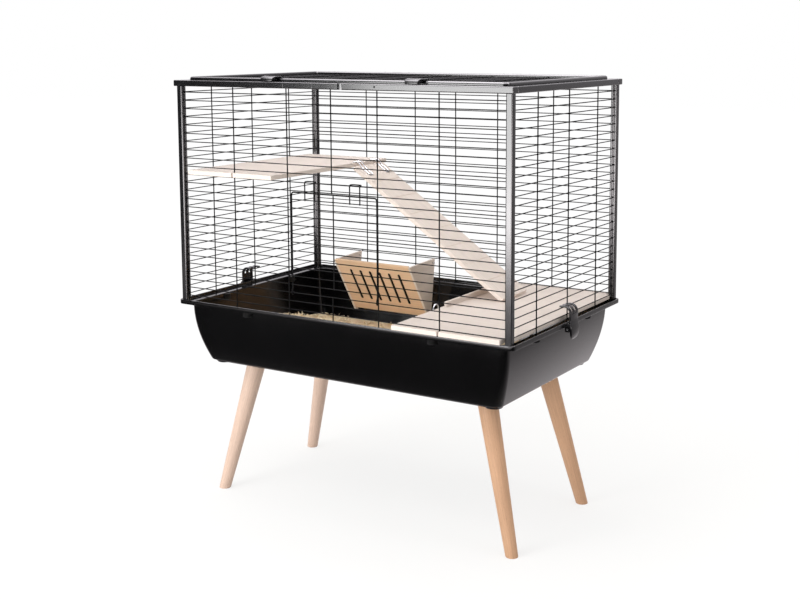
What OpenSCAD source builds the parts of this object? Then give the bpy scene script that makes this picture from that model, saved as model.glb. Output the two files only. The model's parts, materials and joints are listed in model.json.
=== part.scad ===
// Small-animal cage: a wire enclosure on a deep moulded tray with four turned legs.
// Millimetres. Origin on the floor under the middle, +X to the right along the front,
// +Y to the back, +Z up.

/* [Stand] */
// Height of the tray's floor underside above the ground
deck_height = 300; // [250:1:400]
// How far a leg splays outwards along the front, from its upper end to its foot
splay_x = 71; // [40:0.5:90]
// How far a leg splays outwards to the front or back
splay_y = 32; // [10:0.5:50]
// Inset of a leg's upper end from the end of the tray's floor
leg_inset_x = 66.5; // [64:0.5:110]
// Inset of a leg's upper end from the front or back of the tray's floor
leg_inset_y = 77; // [64:0.5:100]
// Diameter of a leg at its upper end
leg_top_d = 40; // [28:0.5:44]
// Diameter of a leg at its foot
leg_foot_d = 24.5; // [18:0.5:30]
// Depth of the socket that carries a leg
socket_depth = 15; // [10:0.5:22]
// Diameter of the socket where it meets the tray
socket_d = 66; // [54:1:76]
// Diameter of the bolt between socket and leg
bolt_d = 8; // [5:0.5:10]
// Length of the bolt inside the leg
bolt_grip = 38; // [20:1:60]

/* [Tray] */
// Length of the tray over its rim
tray_length = 800; // [700:1:900]
// Depth of the tray over its rim, front to back
tray_depth = 490; // [440:1:560]
// Height of the tray from its floor underside to the top of its rim
tray_height = 132.5; // [100:0.5:180]
// Wall thickness of the tray
tray_wall = 3; // [2:0.1:4]
// Inset of the tray body from the ends of the rim
body_inset_x = 21.5; // [16:0.5:26]
// Inset of the tray body from the front and back of the rim
body_inset_y = 14.5; // [13:0.5:20]
// How far each end of the body draws in towards the bottom
draw_in_x = 27.5; // [15:0.5:45]
// How far the front and back draw in towards the bottom
draw_in_y = 25; // [15:1:45]
// Corner radius of the tray body
body_corner = 16; // [14:1:30]
// Corner radius of the rim
rim_corner = 12; // [6:1:13]
// Height of the rim's outer lip
lip_height = 9; // [7:0.5:14]
// Thickness of the rim's outer lip
lip_wall = 4; // [3:0.1:4.5]
// Height of the rib round the underside
base_rib_height = 3; // [2:0.5:5]
// Height of the feet at the corners of the underside
base_foot_height = 6; // [5:0.5:10]
// Depth of the litter on the tray floor
litter_depth = 22; // [10:1:34]

/* [Frame] */
// Height of the wire sides from the rim's seat to the top rails
side_height = 457; // [400:0.5:560]
// Width of a square corner post
post_size = 14; // [12:0.5:18]
// How far the top rails stand out past the posts at the ends
rail_out_x = 4; // [3:0.5:6]
// How far the top rails stand out past the posts at the front and back
rail_out_y = 5; // [3:0.5:6]
// Height of a top rail
rail_height = 12.5; // [10:0.5:18]
// Width of a top rail
rail_width = 20; // [18:0.5:24]
// Place of the joint in the front and back rails, right of the middle
rail_joint_x = 27; // [-60:1:60]
// Length of the strip that joins two rails
joiner_length = 84; // [50:1:120]

/* [Wires] */
// Diameter of the long wires that run round the cage
row_d = 2; // [1.6:0.1:2.6]
// Diameter of the upright wires
upright_d = 2.5; // [2:0.1:3]
// Number of rows on each side
row_count = 26; // [25:1:27]
// Distance of the highest row below the top rails
top_row_drop = 12.4; // [8:0.1:16]
// Height of the lowest row above the rim's seat
bottom_row_rise = 16.5; // [16.4:0.1:20]
// Distance of the outer uprights from the middle, front and back
upright_outer_x = 242.5; // [225:0.5:260]
// Distance of the uprights beside the door from the middle
upright_inner_x = 107; // [106.5:0.5:115]
// Distance of the side uprights from the middle
upright_side_y = 134.5; // [110:0.5:160]

/* [Door] */
// Width of the door between the axes of its frame wires
door_width = 203; // [180:1:203]
// Distance of the door's top wire below the row above it
door_top_drop = 3.2; // [3:0.1:4.2]
// Sideways place of the door's middle
door_x = 2; // [0:0.5:2]
// Diameter of the door's frame wire
door_frame_d = 3; // [2.5:0.1:3.2]
// Row that the door hinges on, counted from the top
hinge_row = 23; // [23]
// Width of a door hook
hook_width = 26; // [20:1:34]
// How far a door hook reaches below the door wire that carries it
hook_tail = 1.3; // [1:0.1:8]
// Place of the left hook
hook_left_x = -51; // [-70:1:-40]
// Place of the right hook
hook_right_x = 56; // [40:1:70]

/* [Roof] */
// Width of a bar of the roof's frame
lid_bar = 10; // [9:0.5:14]
// Height of the roof's frame above the top rails
lid_rise = 4; // [3.5:0.5:6]
// Thickness of the roof's frame
lid_thickness = 8; // [7.5:0.5:10]
// Corner radius of the roof's frame
lid_corner = 12; // [4:1:18]
// Distance of each roof hinge from the middle
lid_hinge_x = 155; // [90:1:250]
// Length of a roof hinge pin
lid_pin_length = 68; // [50:1:90]
// Diameter of the roof's pins
lid_pin_d = 3; // [2:0.1:3.5]
// Place of the left roof latch
latch_left_x = -153; // [-250:1:-60]
// Place of the right roof latch
latch_right_x = 185; // [60:1:250]
// Width of a roof latch
latch_width = 34; // [24:1:44]

/* [Side clips] */
// Width of a side clip
clip_width = 36; // [30:1:48]
// Width of each of the two slots between the clip's prongs
clip_slot = 6; // [4.5:0.5:8]
// Distance between the two slots
clip_slot_pitch = 14; // [12:0.5:16]
// Diameter of a side clip's pin
clip_pin_d = 4; // [3:0.1:4.5]

/* [Boards] */
// Thickness of the wooden boards
board_t = 9; // [7:0.1:9]
// How far a board reaches past the tray's rim at the front
board_reach = 2; // [1:0.5:6]
// Gap between the shelf and the wires at its left
shelf_side_gap = 27; // [4:0.5:40]
// Length of the shelf along the front
shelf_length = 218; // [170:1:240]
// Gap between the shelf and the wires at the back
shelf_back_gap = 65.5; // [6:0.5:90]
// Row that the shelf rests on, counted from the top
shelf_row = 10; // [10]
// Length of the platform along the front
platform_length = 244; // [200:1:270]
// Gap between the platform and the wires at its right
platform_side_gap = 3; // [0.5:0.1:7]
// Width of the batten on the platform
batten_width = 6; // [4:0.5:12]
// Height of the batten on the platform
batten_height = 10.5; // [6:0.5:20]

/* [Ramp] */
// Distance of the ramp from the shelf's back edge
ramp_back_inset = 23; // [5:0.5:60]
// Width of the ramp
ramp_width = 110; // [80:1:130]
// Distance of the ramp's foot from the platform's left edge
ramp_foot_inset = 83.5; // [60:0.5:160]
// Number of sections that the grooves divide the ramp into
ramp_sections = 8; // [4:1:12]
// Width and depth of a groove
ramp_groove = 1.4; // [0.8:0.1:2.5]
// Diameter of the galvanised wire fittings
fitting_d = 2.5; // [2:0.1:2.8]

/* [Hay rack] */
// Left side of the rack
rack_left = -252; // [-290:1:-246]
// Width of the rack
rack_width = 207; // [150:1:240]
// Height of the rack's upper back corner above the wire that it hangs on
rack_rise = 2.8; // [1:0.1:4]
// Distance that the rack's hooks hold it off the wires
rack_stand_off = 13.5; // [10:0.5:18]
// Thickness of the rack's boards
rack_t = 5; // [4:0.5:8]
// Number of slots in the front board
rack_slots = 6; // [3:1:7]
// Distance between the slots
rack_slot_pitch = 26; // [18:0.5:27]
// Width of a slot
rack_slot_width = 6.5; // [4.5:0.1:8]

/* [Hidden] */

$fn = 32;
black = [0.07, 0.07, 0.08];
pale_wood = [0.90, 0.80, 0.70];
warm_wood = [0.84, 0.66, 0.44];
leg_wood = [0.86, 0.66, 0.46];
zinc = [0.75, 0.76, 0.78];

seat_gap = 0.3;      // gap of a piece that rests loosely on another
weld_gap = 0.05;     // hair gap between welded wires, which are separate solids
pin_gap = 0.05;      // radial running clearance of a pin in its bore
overrun = 1;         // how far a cutting shape reaches past what it cuts

// Tray levels
flange_t = tray_wall;
rim_top = deck_height + tray_height;
lip_low = rim_top - lip_height;
seat_z = lip_low + flange_t;
body_x = tray_length / 2 - body_inset_x;
body_y = tray_depth / 2 - body_inset_y;
body_steps = 8;
body_curve = 1.95;
lug_r = 10;
lug_height = 4;
lug_inset_x = 178;
lug_inset_y = 129;
lug_x = tray_length / 2 - lug_inset_x;
lug_y = tray_depth / 2 - lug_inset_y;
base_rib_inset = 7;
base_rib_width = 4;
base_foot_r = 20;
base_foot_taper = 3;
base_foot_inset = 24;

// Legs
leg_top_x = body_x - draw_in_x - leg_inset_x;
leg_top_y = body_y - draw_in_y - leg_inset_y;
foot_x = leg_top_x + splay_x;
foot_y = leg_top_y + splay_y;
leg_out = [splay_x, splay_y];
socket_low = deck_height - socket_depth;
leg_tilt = atan(norm(leg_out) / socket_low);
leg_heading = atan2(leg_out[1], leg_out[0]);
leg_length = socket_low / cos(leg_tilt);
socket_neck_d = leg_top_d + 12;
bolt_in_socket = socket_depth * 0.6;
foot_trim = leg_foot_d / 2 * tan(leg_tilt) + overrun;

// Frame levels and planes
rail_low = seat_z + side_height;
rail_top = rail_low + rail_height;
lip_gap_x = 3;
lip_gap_y = 1;
post_out_x = tray_length / 2 - lip_wall - lip_gap_x;
post_out_y = tray_depth / 2 - lip_wall - lip_gap_y;
post_in_x = post_out_x - post_size;
post_in_y = post_out_y - post_size;
groove_w = 1.6;
groove_depth = 1.2;
tab_size = [5, 4, 5.5];
top_length = 2 * (post_out_x + rail_out_x);
top_depth = 2 * (post_out_y + rail_out_y);
rail_in_x = top_length / 2 - rail_width;
rail_in_y = top_depth / 2 - rail_width;
joiner_section = [9, 4];

// Wires: the uprights lie outside the rows
upright_y = post_out_y - 1.15;
row_y = upright_y - (upright_d + row_d) / 2 - weld_gap;
upright_x = post_out_x - 2.55;
row_x = upright_x - (upright_d + row_d) / 2 - weld_gap;
top_row_z = rail_low - top_row_drop;
row_pitch = (side_height - top_row_drop - bottom_row_rise) / (row_count - 1);
function row_z(i) = top_row_z - i * row_pitch;
door_rows = [12 : hinge_row - 1];
shelf_z = row_z(shelf_row) + row_d / 2 + seat_gap;

// Door
hinge_z = row_z(hinge_row);
eye_r = row_d / 2 + 0.08 + door_frame_d;
door_top_z = row_z(door_rows[0] - 1) - door_top_drop;
door_row_y = row_y + door_frame_d / 2 + weld_gap + row_d / 2;
hook_d = 2.5;
hook_y = door_row_y + row_d / 2 + weld_gap + hook_d / 2;
hook_top_z = row_z(10) + row_d / 2 + seat_gap + hook_d / 2;
hook_in = hook_y - row_y + 2;
hook_bend = 4;

// Roof
lid_gap = 1;
lid_x = rail_in_x - lid_gap;
lid_y = rail_in_y - lid_gap;
lid_top = rail_top + lid_rise;
lid_low = lid_top - lid_thickness;
lid_knuckle_r = lid_pin_d / 2 + pin_gap + 1.65;
lid_axis_z = lid_top + lid_knuckle_r - 2.6;
lid_axis_y = rail_in_y + 11;
lid_lug = [4, 2 * lid_knuckle_r + 1.6];
lid_tab_width = 24;
lid_tab_t = 2.6;
latch_axis_y = lid_y - lid_bar / 2;
latch_axis_z = lid_top + lid_knuckle_r + 0.4;
latch_plate = 4;
latch_tip_y = top_depth / 2 - 2;
latch_nose = 13;

// Side clips
clip_axis_x = tray_length / 2 + 4.6;
clip_axis_z = rim_top - 11.5;
clip_knuckle_r = clip_pin_d / 2 + pin_gap + 1.9;
clip_lug_t = 4.5;
clip_nose_past = 3.5;
clip_nose_t = 4.5;
clip_inner = 2.2;
clip_grip = 26;
clip_bulge = 8;
clip_side_gap = 0.5;
clip_y = -clip_slot_pitch / 2;
clip_seat_z = row_z(24) + row_d / 2 + 0.4;

// Boards
shelf_left = -(row_x - row_d / 2 - shelf_side_gap);
shelf_right = shelf_left + shelf_length;
shelf_back = row_y - row_d / 2 - shelf_back_gap;
platform_right = row_x - row_d / 2 - platform_side_gap;
platform_left = platform_right - platform_length;
board_front = tray_depth / 2 + board_reach;
slot_w = upright_d + 1;
slot_end = upright_y - upright_d / 2 - 0.6;
platform_z = rim_top;
platform_top = platform_z + board_t;
notch_x = post_in_x - tab_size[0] - 1.5;
notch_y = post_in_y - 1;
batten_x = platform_left + 5;
batten_length = 185;
batten_from = -57;
loop_x = platform_left + 3;
loop_from = -98;
loop_width = 22;
loop_height = 12;

// Ramp
ramp_gap = 1;
ramp_front = shelf_back - ramp_back_inset - ramp_width;
ramp_foot_x = platform_left + ramp_foot_inset;
ramp_low_z = platform_top + seat_gap;
ramp_high_z = shelf_z - 4.6;
ramp_run = ramp_foot_x - (shelf_right + ramp_gap);
ramp_slope = atan((ramp_high_z - ramp_low_z) / ramp_run);
ramp_length = ramp_run / cos(ramp_slope);
hook_axis_x = shelf_right - 10;
hook_axis_z = shelf_z + board_t + seat_gap + fitting_d / 2;
hook_hole_d = 8;
hook_drop = 4.5;
ramp_hook_y = [ramp_front + 22, ramp_front + ramp_width - 22];
ramp_hook_half = 6;

// Hay rack, in the plane across the cage
rack_row = 23;
rack_hook_row = row_z(rack_row);
rack_back_y = row_y - row_d / 2 - rack_stand_off;
rack_top = rack_hook_row + rack_rise;
rack_depth = 108;
rack_drop = 137;
rack_foot_in = 18;
rack_sole = 6;
rack_foot = [rack_back_y - rack_foot_in, rack_top - rack_drop];
rack_low = rack_foot - [rack_sole, 1];
rack_high = [rack_back_y - rack_depth, rack_top - 4.5];
rack_fall = rack_low - rack_high;
rack_lean = atan2(rack_fall[1], rack_fall[0]);
rack_front_length = norm(rack_fall) - 9;
rack_fit = 0.1;
rack_slot_from = 25;
rack_slot_to = 115;
rack_hole = [rack_back_y - 9, rack_top - 9];
rack_hole_d = 4;
rack_hook_d = 2;
rack_hook_out = 4;
rack_hook_in = 3;

// ---------- shared shapes ----------

// Rounded plate, its middle at the origin and its underside at z = 0
module rounded_plate(half_x, half_y, corner, height) {
    translate([-half_x + corner, -half_y, 0])
        cube([2 * (half_x - corner), 2 * half_y, height]);
    translate([-half_x, -half_y + corner, 0])
        cube([2 * half_x, 2 * (half_y - corner), height]);
    for (sx = [-1, 1], sy = [-1, 1])
        translate([sx * (half_x - corner), sy * (half_y - corner), 0])
            cylinder(r = corner, h = height, $fn = 64);
}

// Half size of the tray body at height z, drawn in along a curve towards the bottom
function draw(z) = pow(max(0, lip_low - z) / (lip_low - deck_height), body_curve);
function body_half_x(z) = body_x - draw_in_x * draw(z);
function body_half_y(z) = body_y - draw_in_y * draw(z);

// Solid with the tray's curved sides from z_low to z_high, set in by a wall: rounded
// rectangles, one above the other, joined to one closed skin
module tray_form(inset, z_low, z_high) {
    corner_points = 8;
    r = body_corner - inset;
    ring_size = 4 * (corner_points + 1);
    points = [for (i = [0 : body_steps], q = [0 : 3], k = [0 : corner_points])
        let (z = z_low + (z_high - z_low) * i / body_steps,
             a = 90 * (q + k / corner_points),
             sx = (q == 0 || q == 3) ? 1 : -1,
             sy = q < 2 ? 1 : -1)
        [sx * (body_half_x(z) - inset - r) + r * cos(a),
         sy * (body_half_y(z) - inset - r) + r * sin(a), z]];
    walls = [for (i = [0 : body_steps - 1], k = [0 : ring_size - 1])
        let (p = i * ring_size + k, q = i * ring_size + (k + 1) % ring_size)
        each [[p, p + ring_size, q], [q, p + ring_size, q + ring_size]]];
    floor_face = [for (k = [0 : ring_size - 1]) k];
    roof_face = [for (k = [ring_size - 1 : -1 : 0]) body_steps * ring_size + k];
    polyhedron(points = points, faces = concat(walls, [floor_face, roof_face]));
}

function unit(v) = v / norm(v);

// Round wire along a list of points: rings square to the path, closed with flat ends.
// aside is any direction that the path never runs along.
module bent_wire(path, d, aside, sides = 8) {
    last = len(path) - 1;
    rings = [for (i = [0 : last])
        let (t = unit(path[min(i + 1, last)] - path[max(i - 1, 0)]),
             a = unit(cross(t, aside)),
             b = cross(t, a))
        for (k = [0 : sides - 1])
            path[i] + d / 2 * (cos(360 * k / sides) * a + sin(360 * k / sides) * b)];
    walls = [for (i = [0 : last - 1], k = [0 : sides - 1])
        let (p = i * sides + k, q = i * sides + (k + 1) % sides)
        each [[p, p + sides, q], [q, p + sides, q + sides]]];
    start = [for (k = [1 : sides - 2]) [0, k, k + 1]];
    end = [for (k = [1 : sides - 2]) [last * sides, last * sides + k + 1, last * sides + k]];
    polyhedron(points = rings, faces = [for (f = concat(walls, start, end)) [f[0], f[2], f[1]]]);
}

// Points on an arc about centre, from angle a0 to a1, in the plane of u and v
function arc(centre, r, a0, a1, u, v, n = 6) =
    [for (i = [0 : n]) let (a = a0 + (a1 - a0) * i / n) centre + r * (cos(a) * u + sin(a) * v)];

X = [1, 0, 0];
Y = [0, 1, 0];
Z = [0, 0, 1];

module wire_x(x0, x1, y, z, d) {
    translate([x0, y, z])
        rotate([0, 90, 0])
            cylinder(d = d, h = x1 - x0, $fn = 24);
}

module wire_y(y0, y1, x, z, d) {
    translate([x, y1, z])
        rotate([90, 0, 0])
            cylinder(d = d, h = y1 - y0, $fn = 24);
}

module wire_z(z0, z1, x, y, d) {
    translate([x, y, z0])
        cylinder(d = d, h = z1 - z0, $fn = 24);
}

// ---------- tray ----------

module base_tray() {
    color(black)
        difference() {
            union() {
                tray_form(0, deck_height, seat_z);
                translate([0, 0, lip_low])
                    rounded_plate(tray_length / 2, tray_depth / 2, rim_corner, flange_t);
                rim_lip();
                base_rib();
                base_feet();
                rim_lugs();
            }
            tray_form(tray_wall, deck_height + tray_wall, seat_z + overrun);
        }
}

module rim_lip() {
    translate([0, 0, lip_low])
        difference() {
            rounded_plate(tray_length / 2, tray_depth / 2, rim_corner, lip_height);
            translate([0, 0, flange_t])
                rounded_plate(tray_length / 2 - lip_wall, tray_depth / 2 - lip_wall,
                    rim_corner - lip_wall, lip_height);
        }
}

module base_rib() {
    half_x = body_half_x(deck_height) - base_rib_inset;
    half_y = body_half_y(deck_height) - base_rib_inset;
    corner = body_corner - base_rib_inset;
    translate([0, 0, deck_height - base_rib_height])
        difference() {
            rounded_plate(half_x, half_y, corner, base_rib_height + tray_wall / 2);
            translate([0, 0, -overrun])
                rounded_plate(half_x - base_rib_width, half_y - base_rib_width,
                    corner - base_rib_width, base_rib_height + overrun);
        }
}

module base_feet() {
    x = body_half_x(deck_height) - base_foot_inset;
    y = body_half_y(deck_height) - base_foot_inset;
    for (sx = [-1, 1], sy = [-1, 1])
        translate([sx * x, sy * y, deck_height - base_foot_height])
            cylinder(r1 = base_foot_r - base_foot_taper, r2 = base_foot_r, h = base_foot_height + tray_wall / 2);
}

module rim_lugs() {
    for (sx = [-1, 1], sy = [-1, 1]) {
        translate([sx * lug_x, sy * body_y, lip_low - lug_height])
            cylinder(r = lug_r, h = lug_height + flange_t / 2);
        translate([sx * body_x, sy * lug_y, lip_low - lug_height])
            cylinder(r = lug_r, h = lug_height + flange_t / 2);
    }
}

module litter_bed() {
    floor_z = deck_height + tray_wall;
    color(warm_wood)
        tray_form(tray_wall + 1, floor_z + seat_gap, floor_z + litter_depth);
}

// ---------- legs ----------

// Puts its children along the axis of the leg at one corner, from the foot up
module along_leg(sx, sy) {
    mirror([sx < 0 ? 1 : 0, 0, 0])
        mirror([0, sy < 0 ? 1 : 0, 0])
            translate([foot_x, foot_y, 0])
                rotate([0, 0, leg_heading])
                    rotate([0, -leg_tilt, 0])
                        children();
}

module leg_socket(sx, sy) {
    color(black)
        difference() {
            along_leg(sx, sy)
                translate([0, 0, leg_length])
                    cylinder(d1 = socket_neck_d, d2 = socket_d, h = 2 * socket_depth, $fn = 64);
            translate([-tray_length / 2, -tray_depth / 2, deck_height])
                cube([tray_length, tray_depth, 4 * socket_depth]);
            along_leg(sx, sy)
                translate([0, 0, leg_length - overrun])
                    cylinder(d = bolt_d + 2 * pin_gap, h = bolt_in_socket + overrun + seat_gap);
        }
}

module leg(sx, sy) {
    color(leg_wood)
        difference() {
            along_leg(sx, sy)
                translate([0, 0, -foot_trim])
                    cylinder(d1 = leg_foot_d, d2 = leg_top_d, h = leg_length + foot_trim, $fn = 64);
            along_leg(sx, sy)
                translate([0, 0, leg_length - bolt_grip - seat_gap])
                    cylinder(d = bolt_d + 2 * pin_gap, h = bolt_grip + seat_gap + overrun);
            translate([-tray_length, -tray_depth, -4 * foot_trim])
                cube([2 * tray_length, 2 * tray_depth, 4 * foot_trim]);
        }
}

module leg_bolts() {
    color(zinc)
        for (sx = [-1, 1], sy = [-1, 1])
            along_leg(sx, sy)
                translate([0, 0, leg_length - bolt_grip])
                    cylinder(d = bolt_d, h = bolt_grip + bolt_in_socket);
}

// ---------- frame ----------

module corner_post(sx, sy) {
    mid_x = post_out_x - post_size / 2;
    mid_y = post_out_y - post_size / 2;
    color(black)
        mirror([sx < 0 ? 1 : 0, 0, 0])
            mirror([0, sy < 0 ? 1 : 0, 0]) {
                difference() {
                    translate([post_in_x, post_in_y, seat_z])
                        cube([post_size, post_size, side_height]);
                    translate([mid_x - groove_w / 2, post_out_y - groove_depth, seat_z - overrun])
                        cube([groove_w, groove_depth + overrun, side_height + 2 * overrun]);
                    translate([post_out_x - groove_depth, mid_y - groove_w / 2, seat_z - overrun])
                        cube([groove_depth + overrun, groove_w, side_height + 2 * overrun]);
                }
                translate([post_in_x - tab_size[0], post_out_y - tab_size[1], seat_z])
                    cube([tab_size[0], tab_size[1], tab_size[2]]);
            }
}

// Pocket for the strip that joins two rails
module joiner_pocket(sy) {
    play = 0.2;
    translate([rail_joint_x - joiner_length / 2 - play,
            sy * (top_depth - rail_width) / 2 - joiner_section[0] / 2 - play / 2,
            (rail_low + rail_top - joiner_section[1] - play) / 2])
        cube([joiner_length + 2 * play, joiner_section[0] + play, joiner_section[1] + play]);
}

module long_rail(sy, x0, x1) {
    color(black)
        difference() {
            translate([x0, sy > 0 ? rail_in_y : -top_depth / 2, rail_low])
                cube([x1 - x0, rail_width, rail_height]);
            joiner_pocket(sy);
        }
}

module side_rail(sx) {
    color(black)
        translate([sx > 0 ? rail_in_x : -top_length / 2, -rail_in_y, rail_low])
            cube([rail_width, 2 * rail_in_y, rail_height]);
}

module rail_joiner(sy) {
    color(zinc)
        translate([rail_joint_x - joiner_length / 2,
                sy * (top_depth - rail_width) / 2 - joiner_section[0] / 2,
                (rail_low + rail_top - joiner_section[1]) / 2])
            cube([joiner_length, joiner_section[0], joiner_section[1]]);
}

// ---------- wire sides ----------

module front_upright(x, z0, z1, sy = -1) {
    wire_z(z0, z1, x, sy * upright_y, upright_d);
}

module front_row(i, x0, x1, sy = -1) {
    wire_x(x0, x1, sy * row_y, row_z(i), row_d);
}

upright_low = seat_z + seat_gap;
upright_high = rail_low - seat_gap;
row_end_x = post_in_x - weld_gap;
row_end_y = post_in_y - weld_gap;

// The part of the front beside the door: full uprights and the rows that the door cuts
module front_grille_beside(sx) {
    inner = upright_inner_x - upright_d / 2;
    color(black) {
        for (x = [upright_inner_x, upright_outer_x])
            front_upright(sx * x, upright_low, upright_high);
        for (i = door_rows)
            front_row(i, sx > 0 ? inner : -row_end_x, sx > 0 ? row_end_x : -inner);
    }
}

module front_grille_upper() {
    color(black) {
        for (i = [0 : door_rows[0] - 1])
            front_row(i, -row_end_x, row_end_x);
        front_upright(0, row_z(door_rows[0] - 1) - row_d / 2, upright_high);
    }
}

module front_grille_lower() {
    color(black) {
        for (i = [hinge_row : row_count - 1])
            front_row(i, -row_end_x, row_end_x);
        front_upright(0, upright_low, hinge_z + row_d / 2);
    }
}

module back_grille() {
    color(black) {
        for (i = [0 : row_count - 1])
            front_row(i, -row_end_x, row_end_x, 1);
        for (x = [-upright_outer_x, -upright_inner_x, 0, upright_inner_x, upright_outer_x])
            front_upright(x, upright_low, upright_high, 1);
    }
}

module side_grille(sx) {
    color(black) {
        for (i = [0 : row_count - 1])
            wire_y(-row_end_y, row_end_y, sx * row_x, row_z(i), row_d);
        for (y = [-upright_side_y, 0, upright_side_y])
            wire_z(upright_low, upright_high, sx * upright_x, y, upright_d);
    }
}

// ---------- door ----------

module front_door() {
    half = door_width / 2;
    color(black) {
        for (sx = [-1, 1]) {
            difference() {
                translate([door_x + sx * half - door_frame_d / 2, -row_y, hinge_z])
                    rotate([0, 90, 0])
                        cylinder(r = eye_r, h = door_frame_d);
                translate([door_x + sx * half - door_frame_d, -row_y, hinge_z])
                    rotate([0, 90, 0])
                        cylinder(r = row_d / 2 + 0.08, h = 2 * door_frame_d);
            }
            wire_z(hinge_z + eye_r + weld_gap, door_top_z + door_frame_d / 2,
                door_x + sx * half, -row_y, door_frame_d);
        }
        wire_x(door_x - half + door_frame_d / 2 + weld_gap, door_x + half - door_frame_d / 2 - weld_gap,
            -row_y, door_top_z, door_frame_d);
        for (i = door_rows)
            wire_x(door_x - half - door_frame_d / 2, door_x + half + door_frame_d / 2,
                -door_row_y, row_z(i), row_d);
        wire_z(row_z(hinge_row - 1) - row_d, door_top_z - door_frame_d / 2 - weld_gap,
            door_x, -door_row_y + (row_d + upright_d) / 2 + weld_gap, upright_d);
    }
}

// Two wire hooks: each rises from a door wire, bends in over a row and crosses over it
module door_hooks() {
    low_z = row_z(door_rows[0]) - hook_tail;
    color(black)
        for (x = [hook_left_x, hook_right_x]) {
            half = (hook_width - hook_d) / 2;
            left = [x - half, -hook_y, 0];
            right = [x + half, -hook_y, 0];
            bend_in = [0, hook_bend, hook_top_z - hook_bend];
            across = [0, hook_in - hook_bend, hook_top_z];
            bent_wire(concat(
                [left + low_z * Z],
                arc(left + bend_in, hook_bend, 180, 90, Y, Z),
                arc(left + across + hook_bend * X, hook_bend, 180, 90, X, Y),
                arc(right + across - hook_bend * X, hook_bend, 90, 0, X, Y),
                arc(right + bend_in, hook_bend, 90, 180, Y, Z),
                [right + low_z * Z]),
                hook_d, [0.3, 0.6, -0.74], 8);
        }
}

// ---------- roof ----------

module roof_frame() {
    color(black)
        difference() {
            translate([0, 0, lid_low])
                rounded_plate(lid_x, lid_y, lid_corner, lid_thickness);
            translate([-lid_x + lid_bar, -lid_y + lid_bar, lid_low - overrun])
                cube([2 * (lid_x - lid_bar), 2 * (lid_y - lid_bar), lid_thickness + 2 * overrun]);
        }
}

module roof_grille() {
    rows_each_side = floor((lid_y - lid_bar - row_d) / row_pitch);
    z = lid_low + lid_thickness / 3;
    color(black) {
        for (i = [-rows_each_side : rows_each_side])
            wire_x(-lid_x + lid_bar + weld_gap, lid_x - lid_bar - weld_gap, i * row_pitch, z, row_d);
        for (x = [-upright_outer_x, -upright_inner_x, 0, upright_inner_x, upright_outer_x])
            wire_y(-lid_y + lid_bar + weld_gap, lid_y - lid_bar - weld_gap,
                x, z + (row_d + upright_d) / 2 + weld_gap, upright_d);
    }
}

module pin_hole(x0, x1, y, z, d) {
    wire_x(x0 - overrun, x1 + overrun, y, z, d + 2 * pin_gap);
}

module roof_hinge_tabs() {
    color(black)
        for (sx = [-1, 1]) {
            x0 = sx * lid_hinge_x - lid_tab_width / 2;
            x1 = sx * lid_hinge_x + lid_tab_width / 2;
            difference() {
                union() {
                    translate([x0, lid_y - lid_bar, lid_top])
                        cube([lid_tab_width, lid_axis_y - lid_y + lid_bar, lid_tab_t]);
                    wire_x(x0, x1, lid_axis_y, lid_axis_z, 2 * lid_knuckle_r);
                }
                pin_hole(x0, x1, lid_axis_y, lid_axis_z, lid_pin_d);
            }
        }
}

module roof_hinge_lugs() {
    height = lid_axis_z + lid_knuckle_r - rail_top;
    color(black)
        for (sx = [-1, 1], end = [-1, 1]) {
            x0 = sx * lid_hinge_x + end * (lid_pin_length / 2 - lid_lug[0] / 2) - lid_lug[0] / 2;
            difference() {
                translate([x0, lid_axis_y - lid_lug[1] / 2, rail_top])
                    cube([lid_lug[0], lid_lug[1], height]);
                pin_hole(x0, x0 + lid_lug[0], lid_axis_y, lid_axis_z, lid_pin_d);
            }
        }
}

module roof_hinge_pins() {
    color(zinc)
        for (sx = [-1, 1])
            wire_x(sx * lid_hinge_x - lid_pin_length / 2, sx * lid_hinge_x + lid_pin_length / 2,
                lid_axis_y, lid_axis_z, lid_pin_d);
}

latch_pin_half = latch_width / 2 + 0.5 + lid_lug[0];

module latch_lugs() {
    height = latch_axis_z + lid_knuckle_r - lid_top;
    color(black)
        for (x = [latch_left_x, latch_right_x], end = [-1, 1]) {
            x0 = x + end * (latch_pin_half - lid_lug[0] / 2) - lid_lug[0] / 2;
            difference() {
                translate([x0, -latch_axis_y - lid_lug[1] / 2, lid_top])
                    cube([lid_lug[0], lid_lug[1], height]);
                pin_hole(x0, x0 + lid_lug[0], -latch_axis_y, latch_axis_z, lid_pin_d);
            }
        }
}

module latch_pins() {
    color(zinc)
        for (x = [latch_left_x, latch_right_x])
            wire_x(x - latch_pin_half, x + latch_pin_half, -latch_axis_y, latch_axis_z, lid_pin_d);
}

// Lever that turns on the roof frame and lies with its nose on the front rail
module roof_latch(x) {
    x0 = x - latch_width / 2;
    plate_z = latch_axis_z - latch_plate / 2;
    color(black)
        difference() {
            union() {
                wire_x(x0, x0 + latch_width, -latch_axis_y, latch_axis_z, 2 * lid_knuckle_r);
                translate([x0, -latch_tip_y, plate_z])
                    cube([latch_width, latch_tip_y - latch_axis_y, latch_plate]);
                translate([x0, -latch_tip_y, rail_top + seat_gap])
                    cube([latch_width, latch_nose, plate_z - rail_top - seat_gap + latch_plate]);
            }
            pin_hole(x0, x0 + latch_width, -latch_axis_y, latch_axis_z, lid_pin_d);
        }
}

// ---------- side clips ----------

clip_lug_y = clip_width / 2 + clip_side_gap;

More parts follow.
